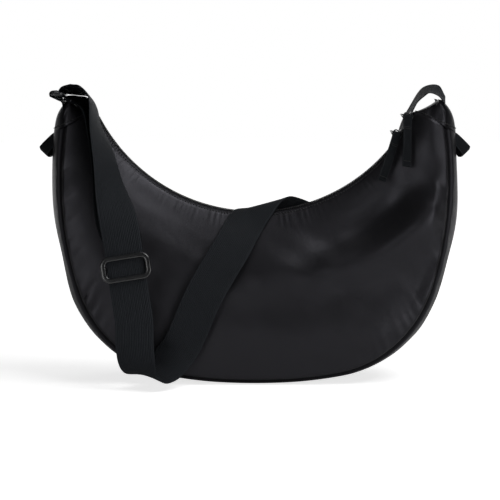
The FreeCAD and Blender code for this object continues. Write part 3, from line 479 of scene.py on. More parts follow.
def panel_relief(turn, x, z, from_zip, from_seam, front):
    """Height in metres of folds, gathers, slack and the groove of the topstitching on a panel."""
    s = settings().shape
    seed = 1 if front else 5
    arc = outline_radius(turn) * turn
    ease = smoothstep(0, 0.030, from_zip) * smoothstep(0, 0.020, from_seam)
    rise = s.fold_depth * panel_drape(x, z, front) * ease
    gather = np.abs(ripple(s.zip_radius * turn, ZIP_WAVES, seed)) ** 0.8 - 0.5
    gather = s.pucker_depth * ZIP_SHARE * gather
    rise += gather * smoothstep(0.001, 0.005, from_zip) * bump(from_zip, 0.014)
    strength = 0.45 + 0.55 * smoothstep(-0.4, 0.6, ripple(arc, PATCH_WAVES, seed + 1))
    strength = strength * smoothstep(*PUCKER_TURNS, np.abs(turn))
    pucker = (seam_gathers(arc, front, 0.7) - 0.55) * smoothstep(0.0015, 0.006, from_seam)
    rise += s.pucker_depth * strength * pucker * bump(from_seam, 0.016)
    aslant, upright = SLACK_WAVES
    slack = ripple(x + 0.3 * z, aslant, seed + 3) * ripple(z, upright, seed + 4)
    rise += PANEL_SLACK * slack * ease
    return rise - GROOVE[0] * bump(from_zip - STITCH_DEPTH, GROOVE[1])


def panel_surface(turn, down, front):
    """Places on the outside of a panel: a turn about the zip's axis, and down from 0 at the zip to 1.

    The section is a chord from zip to gusset plus a parabola of the bow's height. The relief is added
    along the chord's outward direction, and the last millimetres dip along the seam's inward one.
    """
    s = settings().shape
    turn, down = np.broadcast_arrays(np.asarray(turn, float), np.asarray(down, float))
    crest, bulge, half_depth, bow = section(turn)
    chord = np.stack([crest - bulge - s.zip_radius, s.mouth - half_depth], -1)
    reach = np.linalg.norm(chord, axis=-1)
    run = chord / reach[..., None]
    out = np.stack([run[..., 1], -run[..., 0]], -1)
    radius = s.zip_radius + chord[..., 0] * down
    x, z = radius * np.sin(turn), axis_height() - radius * np.cos(turn)
    from_zip, from_seam = down * reach, (1 - down) * reach
    rise = panel_relief(turn, x, z, from_zip, from_seam, front)
    place = np.stack([radius, -s.mouth + chord[..., 1] * down], -1)
    place = place + out * (4 * bow * down * (1 - down) + rise)[..., None]
    place = place + seam_inward(turn) * (s.seam_sink * bump(from_seam, 0.0032))[..., None]
    depth = place[..., 1] if front else -place[..., 1]
    return about_axis(place[..., 0], depth, turn)


def normals_of(points):
    """Unit normals of a grid of points: the cross product of its two directions."""
    return unit(np.cross(np.gradient(points, axis=0), np.gradient(points, axis=1)))


def slab(outer, inner, flat, rim=None):
    """A closed layer: the outer grid, then the inner one backwards, as one ring round the piece."""
    points = np.concatenate([outer, inner[:, ::-1]], axis=1)
    flat = np.concatenate([flat, flat[:, ::-1], flat[:, :1]], axis=1)
    if rim is not None:
        rim = np.concatenate([rim, np.zeros(outer.shape[:2])], axis=1)
    return Surface(points, flat=flat, rim=rim)


def arc_lengths(points, axis):
    """Distance run along a grid in one direction."""
    steps = np.linalg.norm(np.diff(points, axis=axis), axis=-1)
    shape = list(steps.shape)
    shape[axis] = 1
    return np.concatenate([np.zeros(shape), np.cumsum(steps, axis=axis)], axis=axis)


def lengths_along(path, loop):
    """Distance run along a path, as a column that ends with the way back to its start if it is closed."""
    along = arc_lengths(path[:, None], 0)
    if loop:
        along = np.concatenate([along, along[-1:] + np.linalg.norm(path[0] - path[-1])])
    return along


def run_of(path, loop):
    """Unit directions along a path."""
    if loop:
        return unit(np.roll(path, -1, 0) - np.roll(path, 1, 0))
    return unit(np.gradient(path, axis=0))


def upright_circle(*degrees):
    """Places on a circle of radius 1 that stands across the bag."""
    angles = np.radians(degrees)
    return np.stack([np.cos(angles), angles * 0, np.sin(angles)], -1)


def flat_map(points):
    """Flat coordinates in metres: distance along the piece on its middle line, and across it."""
    middle = points.shape[1] // 2
    along = arc_lengths(points[:, middle : middle + 1], 0)
    across = arc_lengths(points, 1)
    across = across - across[:, middle : middle + 1]
    return np.stack([np.broadcast_to(along, across.shape), across], -1)


def panel_normals(grid, front):
    """Normals of a panel's grid that point out of the bag."""
    return normals_of(grid) * (-1 if front else 1)


def panel_layer(front):
    """A panel with its thickness, from just under one hood to just under the other.

    The rim mask, painted shade on the nylon, follows the zip's edge and the outer seam, widening in
    pinches.
    """
    s = settings().shape
    limit = s.zip_half_angle
    turn = np.linspace(-limit - PANEL_TUCK, limit + PANEL_TUCK, 310)
    rows = (np.linspace(0, 0.06, 9)[:-1], np.linspace(0.06, 0.9, 86)[:-1], np.linspace(0.9, 1, 16))
    outer = panel_surface(turn[:, None], np.concatenate(rows)[None], front)
    normal = panel_normals(outer, front)
    tuck = smoothstep(limit - 0.004, limit + 0.006, np.abs(turn))[:, None, None]
    outer = outer - normal * 0.0016 * tuck
    from_zip = arc_lengths(outer, 1)
    pinch = seam_gathers(outline_radius(turn) * turn, front, 1.5) * smoothstep(0.3, 0.75, np.abs(turn))
    seam_width = 0.0024 + 0.0040 * pinch
    seam = bump(from_zip[:, -1:] - from_zip, seam_width[:, None])
    rim = np.maximum(0.6 * bump(from_zip, 0.0008), seam)
    return slab(outer, outer - normal * s.shell, flat_map(outer), rim)


def gusset_surface(turn, across):
    """Places on the gusset. Across is -1 at the front seam and 1 at the back.

    The radius falls from the crest by the bulge times the square of across, with gathers near both
    seams, the seam's dip at the edges, and no point lower than the floor.
    """
    s = settings().shape
    turn, across = np.broadcast_arrays(np.asarray(turn, float), np.asarray(across, float))
    crest, bulge, half_depth, _ = section(turn)
    edge = (1 - np.abs(across)) * half_depth
    arc = crest * turn
    side = smoothstep(*SIDE_TURNS, np.abs(turn))
    pucker = np.where(across < 0, seam_gathers(arc, True, 0.7), seam_gathers(arc, False, 0.7)) - 0.55
    pucker = s.pucker_depth * SIDE_SHARE * side * pucker
    rise = pucker * smoothstep(0.0015, 0.006, edge) * bump(edge, 0.011)
    slack = ripple(arc + 0.2 * across * half_depth, SIDE_WAVES, 9) * smoothstep(0, 0.02, edge)
    radius = crest - bulge * across**2 + rise + GUSSET_SLACK * side * slack
    dip = s.seam_sink * bump(edge, 0.0030)
    inward = seam_inward(turn)
    radius = radius + inward[..., 0] * dip
    depth = half_depth * across - np.sign(across) * inward[..., 1] * dip
    points = about_axis(radius, depth, turn)
    points[..., 2] = np.maximum(points[..., 2], 0)
    return points


def towards_axis(points):
    """Unit directions from places on the gusset to the zip's axis."""
    return unit(np.array([0.0, 0.0, axis_height()]) - points * np.array([1, 0, 1]))


def gusset_layer():
    """The gusset with its thickness, from hood to hood, thinner where it is pressed on the floor."""
    s = settings().shape
    limit = s.zip_half_angle + GUSSET_TUCK
    turn = np.linspace(-limit, limit, 520)
    edge = np.linspace(0, 1, 15)[:-1] ** 1.6 * 0.35
    across = np.concatenate([edge - 1, np.linspace(-0.65, 0.65, 22), 1 - edge[::-1]])
    outer = gusset_surface(turn[:, None], across[None])
    inner = outer + towards_axis(outer) * s.shell
    inner[..., 2] = np.maximum(inner[..., 2], outer[..., 2] + 0.0008 * (outer[..., 2] < 0.002))
    half_depth = section(turn)[2]
    # Rim mask along both seams, where the nylon gets painted shade
    edges = bump((1 - np.abs(across))[None] * half_depth[:, None], 0.003)
    return slab(outer, inner, flat_map(outer), edges)


HOOD_LAP = 0.004  # turn by which a hood laps over its seam
HOOD_DIP = 0.0012  # depth of the valley along a hood's edges
HOOD_WAVES = (0.013, 0.021)  # lengths of a hood's crumples
HOOD_LIP = np.array([0.90, 0.955, 0.985])  # sizes of the rings of the lip at a hood's seam
HOOD_CLOSE = np.array([0.12, 0.35, 0.62, 0.85, 1.0])  # ways of the end's rings towards the slit
HOOD_RISE = np.array([0.0, 0.0003, 0.0002, -0.0006, -0.0040])  # and how far each lies above that way
SLIT_PLACE = (0.1935, 0.2856)  # distance from the middle, and height, of the slit for the webbing
SLIT_HALF = (0.0016, 0.0194)  # half width and half depth of that slit


def hood_ring(turn, along):
    """Low and high radius, half depth, half mouth, gusset bulge and panel bow of a hood's section."""
    s = settings().shape
    low = s.zip_radius + 0.0195 * along**0.8
    high = outline_radius(turn) - 0.009 * along**4
    half_depth = (s.tip_depth + (s.end_depth - s.tip_depth) * along) / 2
    mouth = s.mouth + 0.007 * along
    bulge = s.side_bulge * (1 - 0.55 * along)
    bow = np.maximum(s.tip_bow * (1 - 0.7 * along), 0.0005)
    return low, high, half_depth, mouth, bulge, bow


def hood_surface(way, along, round_it):
    """Places on a hood. Along is 0 at its seam and 1 at the tip.

    Round it runs 0 to 1 up the front, 1 to 2 over the gusset, 2 to 3 down the back and 3 to 4 across
    the mouth. Each stretch is a chord with a parabola on it.
    """
    s = settings().shape
    along, round_it = np.broadcast_arrays(np.asarray(along, float), np.asarray(round_it, float))
    turn = s.zip_half_angle - HOOD_LAP + (s.tip_half_angle - s.zip_half_angle + HOOD_LAP) * along
    low, high, half_depth, mouth, bulge, bow = hood_ring(turn, along)
    t = np.where(round_it <= 1, round_it, np.where((round_it >= 2) & (round_it <= 3), 3 - round_it, 0))
    chord = np.stack([high - bulge - low, mouth - half_depth], -1)
    run = unit(chord)
    edge = (1 - t) * np.linalg.norm(chord, axis=-1)
    side = np.stack([low, -mouth], -1) + chord * t[..., None]
    rise = 4 * bow * t * (1 - t) + 0.0006 * ripple(turn * 0.2 + t * 0.03, HOOD_WAVES, way + 4)
    side = side + np.stack([run[..., 1], -run[..., 0]], -1) * rise[..., None]
    side = side + np.array([-1, 1]) * (HOOD_DIP * bump(edge, 0.0030))[..., None]
    v = np.clip(round_it - 1, 0, 1) * 2 - 1
    over_edge = (1 - np.abs(v)) * half_depth
    dip = HOOD_DIP * bump(over_edge, 0.003)
    over = np.stack([high - bulge * v**2 - dip, v * (half_depth - dip)], -1)
    w = np.clip(round_it - 3, 0, 1) * 2 - 1
    under = np.stack([low - 0.0015 * (1 - w**2), -w * mouth], -1)
    back = side * np.array([1, -1])
    stretch = round_it[..., None]
    place = np.where(stretch <= 3, back, under)
    place = np.where(stretch <= 1, side, np.where(stretch < 2, over, place))
    return about_axis(place[..., 0], place[..., 1], turn * way)


def hood_layer(way):
    """A closed hood: its outside, a lip rolled in at the seam, and an end that closes on the webbing."""
    edge = 0.5 - 0.5 * np.cos(np.linspace(0, pi, 19)[:-1])
    round_it = np.concatenate([edge, 1 + edge, 2 + edge, 3 + np.linspace(0, 1, 9)[:-1]])
    along = np.linspace(0, 1, 30)
    shell = hood_surface(way, along[:, None], round_it[None])
    middle = shell.mean(axis=1, keepdims=True)
    puff = 1 + 0.010 * smoothstep(0, 0.10, along) * smoothstep(1, 0.9, along)
    shell = middle + (shell - middle) * puff[:, None, None]
    end = shell[-1]
    slit = end.copy()
    aside, height = way * SLIT_PLACE[0], SLIT_PLACE[1]
    half_width, half_depth = SLIT_HALF
    slit[:, 0] = aside + np.clip(end[:, 0] - aside, -half_width, half_width)
    slit[:, 1] = np.clip(end[:, 1], -half_depth, half_depth)
    slit[:, 2] = height
    rise = HOOD_RISE[:, None, None] * np.array([0, 0, 1])
    close = end + (slit - end) * HOOD_CLOSE[:, None, None] + rise
    lip = middle[:1] + (shell[:1] - middle[:1]) * HOOD_LIP[:, None, None]
    points = np.concatenate([lip, shell, close])
    belt = shell[len(along) // 2]
    ring = arc_lengths(np.concatenate([belt, belt[:1]])[None], 1)[0]
    rows = arc_lengths(points[:, :1], 0)
    flat = np.stack(np.broadcast_arrays(rows, ring[None]), -1)
    # Rim mask on the lip and along the seams over the gusset, where the nylon gets painted shade
    rim = np.zeros(points.shape[:2])
    rim[2:5] = 1
    rim = np.maximum(rim, np.maximum(bump(round_it - 1, 0.06), bump(round_it - 2, 0.06))[None])
    return Surface(points, flat=flat, rim=rim, end="flat")


# The strap's route, in metres

CROSSING_AXIS = (0.966, 0, 0.26)  # direction of the roll where the strap crosses the zip
CROSSING_LEAD = 1.01  # way along that axis for each length round it
CROSSING_TURN = 58  # degrees of the roll to either side
ADJUSTER_SPOT = (-127.8, -67, 122)  # the adjuster's place on the strap, in millimetres
ADJUSTER_LINE = ((-116.5, -80, 50), (-134.1, -59.4, 162.8))  # two places on the adjuster's way
RING_BAR = np.array([-0.1945, 0, 0.293])  # middle of the bar that the strap turns round
LEG_LINE = np.array([(-0.006, 0.170), (-0.072, 0.046)])  # ends of the leg on the front, across and up
STEPS = 8  # rows of the strap's sheet between two stations
EASE_ROWS = 9  # rows over which the strap eases onto the zip
BACKWARDS = (0.0, 1.0, 0.0)  # direction from front to back
BUNCH = 0.93  # how closely a band's columns bunch at its selvages
SELVAGE = (10, 0.62)  # power and share of the thinning towards the selvages


def stations(*rows):
    """Places and width directions of a route, from rows of two triples in millimetres and shares."""
    rows = np.array(rows, float)
    return rows[:, 0] / 1000, rows[:, 1]


def joined_route(*routes):
    """Several routes end to end."""
    return tuple(np.concatenate([route[k] for route in routes]) for k in (0, 1))


def rolled_route(centre, axis, radius, lead, first, last, count):
    """Route of a band that rolls round an axis while it moves along that axis.

    The place is the centre, plus the axis times lead, radius and turn, plus a circle about the axis.
    """
    axis = unit(np.array(axis, float))
    rise = unit(np.array([0, 0, 1]) - axis * axis[2])
    away = np.cross(rise, axis)
    turn = np.radians(np.linspace(first, last, count))[:, None]
    circle = rise * np.cos(turn) + away * np.sin(turn)
    place = centre + axis * (lead * radius * turn) + circle * radius
    return place, axis - (away * np.cos(turn) - rise * np.sin(turn)) * lead


def crossing_centre():
    """Middle of the roll where the strap crosses the zip."""
    return np.array([0.010, 0, settings().shape.zip_height - 0.0034])


def roof(u, q):
    """Places and outward normals of a sheet bent over the zip.

    U runs along the crossing's axis and q round it, both as lengths on the flat sheet. The sheet is a
    circle about the axis that ends at the crossing's turn, and from there each slope goes straight on.
    """
    radius = settings().strap.crossing_radius
    axis = unit(np.array(CROSSING_AXIS))
    rise, away = np.array([-axis[2], 0, axis[0]]), np.array(BACKWARDS)
    turn = np.clip(q / radius, -radians(CROSSING_TURN), radians(CROSSING_TURN))[..., None]
    over = (q - turn[..., 0] * radius)[..., None]
    normal = rise * np.cos(turn) + away * np.sin(turn)
    tangent = away * np.cos(turn) - rise * np.sin(turn)
    lift = 0.0022 * smoothstep(-0.012, -0.028, u)[..., None]
    place = crossing_centre() + axis * u[..., None] + normal * radius + tangent * over + rise * lift
    return place, normal


def over_zip(sheet, normals, across, first, last):
    """The strap's sheet with the rows from first to last laid over the zip, eased in at both ends.

    The rows run at the crossing's lead down the roof, so a row at arc length s and offset a across
    lies at u = (s lead + a) / n and q = (s - a lead) / n, with n the root of 1 plus the lead squared.
    """
    middle = len(across) // 2
    arc = arc_lengths(sheet[:, middle : middle + 1], 0)
    s = (arc[(first + last) // 2] - arc)[first : last + 1]
    n = (1 + CROSSING_LEAD**2) ** 0.5
    place, normal = roof((s * CROSSING_LEAD + across) / n, (s - across * CROSSING_LEAD) / n)
    rows = np.arange(first, last + 1)
    ease = smoothstep(0, EASE_ROWS, rows - first) * smoothstep(0, EASE_ROWS, last - rows)
    ease = ease[:, None, None]
    way = np.sign(np.sum(normals[first : last + 1] * normal))
    sheet[first : last + 1] += (place - sheet[first : last + 1]) * ease
    normals[first : last + 1] += (way * normal - normals[first : last + 1]) * ease
    return sheet, unit(normals)


def strap_parts():
    """The stations of the strap's stretches, from the right tip to the ring at the left tip."""
    strap = settings().strap
    forwards = (0, -1, 0)
    back = stations(
        ((192.5, 0, 276), (-0.12, -1, 0)),
        ((192.8, 0.5, 284.5), (-0.16, -1, -0.02)),
        ((189.5, 2, 291.5), (-0.20, -1, -0.10)),
        ((181, 6, 296.6), (-0.22, -1, -0.26)),
        ((170, 13, 291.2), (-0.18, -1, -0.34)),
        ((161.5, 25, 275.5), (-0.08, -1, -0.26)),
        ((153.5, 34, 257), (0, -1, -0.1)),
        ((148, 40.5, 232), forwards),
        ((143, 50, 200), forwards),
        ((136, 58, 168), forwards),
        ((118, 64, 142), (0.1, -1, 0.2)),
        ((92, 60, 134), (0.3, -0.75, 0.6)),
        ((69, 43.5, 149), (0.5, -0.25, 0.8)),
        ((46.5, 26, 166), (0.5, -0.32, 0.8)),
    )
    roll = (CROSSING_AXIS, strap.crossing_radius, CROSSING_LEAD, CROSSING_TURN, -CROSSING_TURN)
    crossing = rolled_route(crossing_centre(), *roll, 7)
    leg = stations(
        ((-21.6, -36.5, 142), (0.85, -0.15, -0.5)),
        ((-50.3, -50.5, 93.7), (0.88, -0.05, -0.46)),
        ((-70.5, -55.5, 48), (0.9, 0, -0.42)),
    )
    fold = stations(
        ((-82.5, -57.5, 30), (0.90, -0.22, -0.36)),
        ((-91.5, -61, 19.5), (0.88, -0.36, -0.28)),
        ((-101.5, -68, 14.5), (0.90, -0.40, -0.22)),
        ((-110.5, -75.5, 17.5), (0.92, -0.34, -0.19)),
        ((-116.5, -80, 28), (0.96, -0.22, -0.06)),
    )
    rise = stations(
        ((-118.8, -81, 46), (1, -0.05, 0.09)),
        ((-119.5, -76.8, 68.5), (1, 0, 0.13)),
        ((-123.6, -71.9, 95.3), (1, 0, 0.13)),
        (ADJUSTER_SPOT, (1, 0, 0.13)),
        ((-132.2, -61.9, 150), (1, 0, 0.13)),
        ((-137.2, -56.9, 174), (0.93, 0.34, 0.13)),
        ((-145, -48.5, 203), (0.66, 0.75, 0.1)),
        ((-151.5, -42, 236), (0.42, 0.9, 0.12)),
        ((-158.5, -29, 262), (0.12, 0.97, 0.15)),
        ((-164.5, -12, 284), (0, 1, 0)),
        ((-173, -4, 295), (0, 1, -0.2)),
    )
    turn = stations(
        ((-184, 0, 297.5), (0, 1, -0.3)),
        ((-193, 0, 297.3), (0, 1, -0.22)),
        ((-197.6, 0, 295.6), (0, 1, -0.06)),
    )
    wrap = strap.ring_wire / 2 + strap.thickness / 2 + 0.0003
    ring = upright_circle(180, 202, 225, 248, 270) * wrap + RING_BAR
    turn = joined_route(turn, (ring, np.broadcast_to(BACKWARDS, ring.shape)))
    return back, crossing, leg, fold, rise, turn


def strap_aside(x, z):
    """Offsets, seen from the front, from a place to the nearest point of the leg on the front panel."""
    a, b = LEG_LINE
    run = b - a
    t = np.clip(((x - a[0]) * run[0] + (z - a[1]) * run[1]) / (run @ run), 0, 1)
    return x - a[0] - run[0] * t, z - a[1] - run[1] * t


def cubic_route(route, steps):
    """A smooth curve through a route, which passes each station along its neighbours' chord."""
    result = []
    for values in route:
        ends = np.concatenate([values[:1], values, values[-1:]])
        a, b, c, d = ends[:-3, None], ends[1:-2, None], ends[2:-1, None], ends[3:, None]
        t = (np.arange(steps) / steps)[None, :, None]
        curve = b * (2 * t**3 - 3 * t**2 + 1) + (c - a) * 0.5 * (t**3 - 2 * t**2 + t)
        curve = curve + c * (3 * t**2 - 2 * t**3) + (d - b) * 0.5 * (t**3 - t**2)
        result.append(np.concatenate([curve.reshape(-1, 3), values[-1:]]))
    return result


def frames_of(places, across):
    """Run, width and thickness directions along a curve, square to each other."""
    ahead = np.concatenate([places[1:], places[-1:]])
    behind = np.concatenate([places[:1], places[:-1]])
    run = unit(ahead - behind)
    across = unit(across - run * np.sum(across * run, axis=1, keepdims=True))
    return run, across, np.cross(run, across)


def band(route, width, thickness, steps=STEPS, loop=False, columns=17, cup=0.0, laid=None):
    """A webbing band carried along a route: a flat bar with rounded edges, a little cupped.

    Laid, if given, changes the middle sheet and its normals before the thickness is added.
    """
    places, across = cubic_route(route, steps) if steps else route
    _, wide, thick = frames_of(places, across)
    if loop:
        places, wide, thick = places[:-1], wide[:-1], thick[:-1]
    a = np.sin(np.linspace(-1, 1, columns) * pi / 2 * BUNCH) / sin(pi / 2 * BUNCH)
    power, thinning = SELVAGE
    half = thickness / 2 * (1 - np.abs(a) ** power * thinning)
    sheet = places[:, None] + wide[:, None] * (a * width / 2)[:, None]
    normals = np.repeat(thick[:, None], columns, axis=1)
    if laid:
        sheet, normals = laid(sheet, normals, a * width / 2)
    ring_a = np.concatenate([a, a[::-1]])
    ring_t = np.concatenate([half, -half[::-1]]) + cup * (ring_a**2 - 0.4)
    points = np.concatenate([sheet, sheet[:, ::-1]], axis=1)
    points = points + np.concatenate([normals, normals[:, ::-1]], axis=1) * ring_t[:, None]
    flat_a = np.append(ring_a, ring_a[0])[None] * width / 2
    flat = np.stack(np.broadcast_arrays(lengths_along(places, loop), flat_a), -1)
    rim = np.broadcast_to(smoothstep(0.90, 0.985, np.abs(ring_a))[None], points.shape[:2])
    return Surface(points, flat=flat, rim=rim, loop_along=loop)


def adjuster_axes():
    """Width, run and outward directions of the strap at the adjuster, and the adjuster's place."""
    low, high = np.array(ADJUSTER_LINE)
    run = unit(high - low)
    across = np.array([1, 0, 0.13])
    across = unit(across - run * (across @ run))
    return across, run, np.cross(across, run), np.array(ADJUSTER_SPOT) / 1000


def under_route():
    """The layer that runs back from the ring to the adjuster, straighter than the outer one and inside."""
    turn = strap_parts()[-1]
    first = (turn[0][-1:] + np.array([0.0005, 0, 0]), np.array([BACKWARDS]))
    layer = stations(
        ((-187, -0.5, 289.5), (0, 1, 0.12)),
        ((-180, -5, 286.5), (0, 1, 0.3)),
        ((-171, -15, 277), (0, 0.97, 0.36)),
        ((-164, -29, 257), (0.02, 0.98, 0.2)),
        ((-156.5, -39, 234), (0.26, 0.95, 0.12)),
        ((-148.5, -45.5, 201), (0.6, 0.8, 0.1)),
        ((-139.0, -55.4, 165), (0.96, 0.24, 0.13)),
    )
    across, run, outward, spot = adjuster_axes()
    tail = np.array([[0.030, 0.0029], [0.009, 0.0025]])
    tail = (spot + run * tail[:, :1] - outward * tail[:, 1:], np.broadcast_to(across, (2, 3)))
    return joined_route(first, layer, tail)


# Small hardware


def tube(path, radius, sides, loop, start):
    """A round wire along a path: a circle square to it, which starts at a given direction."""
    run = run_of(path, loop)
    side = np.broadcast_to(np.asarray(start, float), run.shape)
    side = unit(side - run * np.sum(side * run, axis=1, keepdims=True))
    other = np.cross(run, side)
    turn = np.arange(sides) / sides * 2 * pi
    circle = side[:, None] * np.cos(turn)[:, None] + other[:, None] * np.sin(turn)[:, None]
    round_it = np.arange(sides + 1) / sides * 2 * pi * radius
    flat = np.stack(np.broadcast_arrays(lengths_along(path, loop), round_it[None]), -1)
    return Surface(path[:, None] + circle * radius, flat=flat, loop_along=loop, end="flat")


def rounded_loop(corners, radii, steps=7):
    """A closed path through corners in space: at each corner an arc of its radius, touching both sides."""
    corners = np.asarray(corners, float)
    back = unit(np.roll(corners, 1, 0) - corners)
    ahead = unit(np.roll(corners, -1, 0) - corners)
    half = np.arccos(np.clip(np.sum(back * ahead, axis=1), -1, 1)) / 2
    radii = np.asarray(radii, float)
    middle = unit(back + ahead)
    centre = corners + middle * (radii / np.sin(half))[:, None]
    sweep = pi / 2 - half
    turn = np.linspace(-1, 1, steps)[None] * sweep[:, None]
    aside = unit(ahead - back)
    arc = -middle[:, None] * np.cos(turn)[..., None] + aside[:, None] * np.sin(turn)[..., None]
    return (centre[:, None] + arc * radii[:, None, None]).reshape(-1, 3)


def bar_profile(width, height, corner, steps=4):
    """A rounded rectangle as an array of places across and up."""
    w, h = width / 2, height / 2
    corners = [(w, h, 0), (-w, h, 0), (-w, -h, 0), (w, -h, 0)]
    return rounded_loop(corners, [corner] * 4, steps)[:, :2]


def swept(path, profile, up, loop=True):
    """A profile carried along a flat path: its first direction lies in the path's plane, its second up."""
    run = run_of(path, loop)
    up = np.broadcast_to(np.asarray(up, float), run.shape)
    side = unit(np.cross(run, up))
    points = path[:, None] + side[:, None] * profile[:, :1] + up[:, None] * profile[:, 1:]
    reach = np.abs(profile) / np.abs(profile).max(axis=0)
    rim = np.broadcast_to(smoothstep(0.72, 0.98, reach.min(axis=1))[None], points.shape[:2])
    return Surface(points, rim=rim, loop_along=loop, end="flat")


def plate(outline, levels):
    """A solid plate: one outline at several heights, each pulled in towards the middle by its inset."""
    middle = outline.mean(axis=0)
    away = outline - middle
    size = np.linalg.norm(away, axis=1, keepdims=True)
    rings = []
    for high, inset in levels:
        ring = middle + away * (1 - inset / size)
        rings.append(np.column_stack([ring, np.full(len(outline), high)]))
    rims = np.array([1.0 if 0 < inset < 0.0006 else 0.15 for _, inset in levels])
    return Surface(np.array(rings), rim=np.repeat(rims[:, None], len(outline), 1), end="flat")


def edged(low, high, ease):
    """Levels of a plate with eased edges."""
    bottom = ((low, ease * 1.9), (low + ease * 0.3, ease * 0.7), (low + ease, 0))
    top = ((high - ease, 0), (high - ease * 0.3, ease * 0.7), (high, ease * 1.9))
    return bottom + top


def on_zip(turn, points):
    """Local places on the zip (along it, back, and towards its axis) as places in space."""
    s = settings().shape
    points = np.asarray(points, float)
    along = np.array([cos(turn), 0, sin(turn)])
    up = np.array([-sin(turn), 0, cos(turn)])
    spot = np.array([s.zip_radius * sin(turn), 0, axis_height() - s.zip_radius * cos(turn)])
    return spot + points[..., :1] * along + points[..., 1:2] * np.array(BACKWARDS) + points[..., 2:] * up


def moved(surface, place):
    """A surface with each of its points sent through a placing function."""
    surface.points = place(surface.points)
    return surface


TOP_STITCH = (0.0017, 0.00065)  # length and radius of a stitch along the zip
HOOD_STITCH = (0.0026, 0.00055)  # on a hood
PULL_STITCH = (0.0012, 0.00030)  # on a pull
STITCH_SINK = 0.00012  # how deep a stitch lies in the cloth


def stitches(places, run, out, size):
    """Short threads: each one a spindle along its run, bent into the cloth at both ends."""
    places, run, out = np.asarray(places), unit(np.asarray(run)), np.asarray(out)
    out = unit(out - run * np.sum(out * run, axis=-1, keepdims=True))
    side = np.cross(run, out)
    t = np.array([-1.0, -0.72, 0.0, 0.72, 1.0])
    fat = np.array([0.25, 0.85, 1.0, 0.85, 0.25]) * size[1]
    turn = np.arange(6) / 6 * 2 * pi
    arch = size[1] * 0.8 * (1 - t**2) - STITCH_SINK
    ring = places[:, None, None] + run[:, None, None] * (t * size[0] / 2)[:, None, None]
    ring = ring + out[:, None, None] * arch[:, None, None]
    wide = out[:, None, None] * np.cos(turn)[:, None] + side[:, None, None] * np.sin(turn)[:, None]
    points = ring + wide * fat[:, None, None]
    return [Surface(one, end="flat") for one in points]


def spaced(line, pitch, normals):
    """Evenly spaced places along a line of points, with the run and the normal at each."""
    run = arc_lengths(line[:, None], 0)[:, 0]
    at = np.arange(pitch / 2, run[-1], pitch)

    def between(values, where):
        return np.stack([np.interp(where, run, values[:, k]) for k in range(3)], -1)

    ahead, behind = between(line, at + pitch * 0.3), between(line, at - pitch * 0.3)
    return between(line, at), ahead - behind, between(normals, at)


# Finishes


def shader_group(name, inputs, outputs):
    """A new shader node group with named number or vector sockets, and its end nodes."""
    group = bpy.data.node_groups.new(name, "ShaderNodeTree")
    kinds = {"value": "NodeSocketFloat", "vector": "NodeSocketVector"}
    for label, kind, default in inputs:
        socket = group.interface.new_socket(name=label, in_out="INPUT", socket_type=kinds[kind])
        if default is not None:
            socket.default_value = default
    for label, kind in outputs:
        group.interface.new_socket(name=label, in_out="OUTPUT", socket_type=kinds[kind])
    return group, group.nodes.new("NodeGroupInput"), group.nodes.new("NodeGroupOutput")


def feed(tree, value, socket):
    """Set a socket to a number, or link another socket to it."""
    if isinstance(value, (int, float)):
        socket.default_value = value
    else:
        tree.links.new(value, socket)


def calculate(tree, operation, *values):
    """A maths node whose inputs are numbers or sockets. Returns its output."""
    node = tree.nodes.new("ShaderNodeMath")
    node.operation = operation
    for socket, value in zip(node.inputs, values):
        feed(tree, value, socket)
    return node.outputs[0]


def scaled(tree, value, factor, base):
    """A value times a factor, plus a base."""
    return calculate(tree, "ADD", calculate(tree, "MULTIPLY", value, factor), base)


def threads_of(tree, value):
    """A row of round threads, one to each whole number: the half sine of a value."""
    return calculate(tree, "ABSOLUTE", calculate(tree, "SINE", calculate(tree, "MULTIPLY", value, pi)))


def parts_of(tree, vector):
    """The three parts of a vector."""
    node = tree.nodes.new("ShaderNodeSeparateXYZ")
    tree.links.new(vector, node.inputs[0])
    return node.outputs


def noise(tree, place, scale, detail, distortion=0.0):
    """Soft noise at a place. Returns its output."""
    node = tree.nodes.new("ShaderNodeTexNoise")
    node.inputs["Detail"].default_value = detail
    node.inputs["Distortion"].default_value = distortion
    tree.links.new(place, node.inputs["Vector"])
    feed(tree, scale, node.inputs["Scale"])
    return node.outputs[0]


def eased(tree, value, first, last, low=0.0, high=1.0, kind="SMOOTHSTEP"):
    """A value from first to last as one from low to high, and no further."""
    node = tree.nodes.new("ShaderNodeMapRange")
    node.interpolation_type = kind
    for label, number in zip(("From Min", "From Max", "To Min", "To Max"), (first, last, low, high)):
        node.inputs[label].default_value = number
    tree.links.new(value, node.inputs["Value"])
    return node.outputs[0]


def cloth_weave():
    """Plain weave on flat coordinates: round threads that swap over and under from one to the next."""
    found = bpy.data.node_groups.get("cloth_weave")
    if found:
        return found
    group, given, result = shader_group(
        "cloth_weave",
        (("Flat", "vector", None), ("Threads", "value", 2000.0)),
        (("Height", "value"), ("Shade", "value")),
    )
    along, across, _ = parts_of(group, given.outputs["Flat"])
    warp = calculate(group, "MULTIPLY", along, given.outputs["Threads"])
    weft = calculate(group, "MULTIPLY", across, given.outputs["Threads"])
    cells = calculate(group, "ADD", calculate(group, "FLOOR", warp), calculate(group, "FLOOR", weft))
    swap = calculate(group, "PINGPONG", cells, 1.0)
    over = calculate(group, "MULTIPLY", threads_of(group, warp), swap)
    under = calculate(group, "MULTIPLY", threads_of(group, weft), calculate(group, "SUBTRACT", 1.0, swap))
    height = calculate(group, "ADD", over, under)
    group.links.new(height, result.inputs["Height"])
    # Shade is painted shade in the hollows between threads, with a paler top on each thread
    group.links.new(scaled(group, height, 0.35, 0.75), result.inputs["Shade"])
    return group


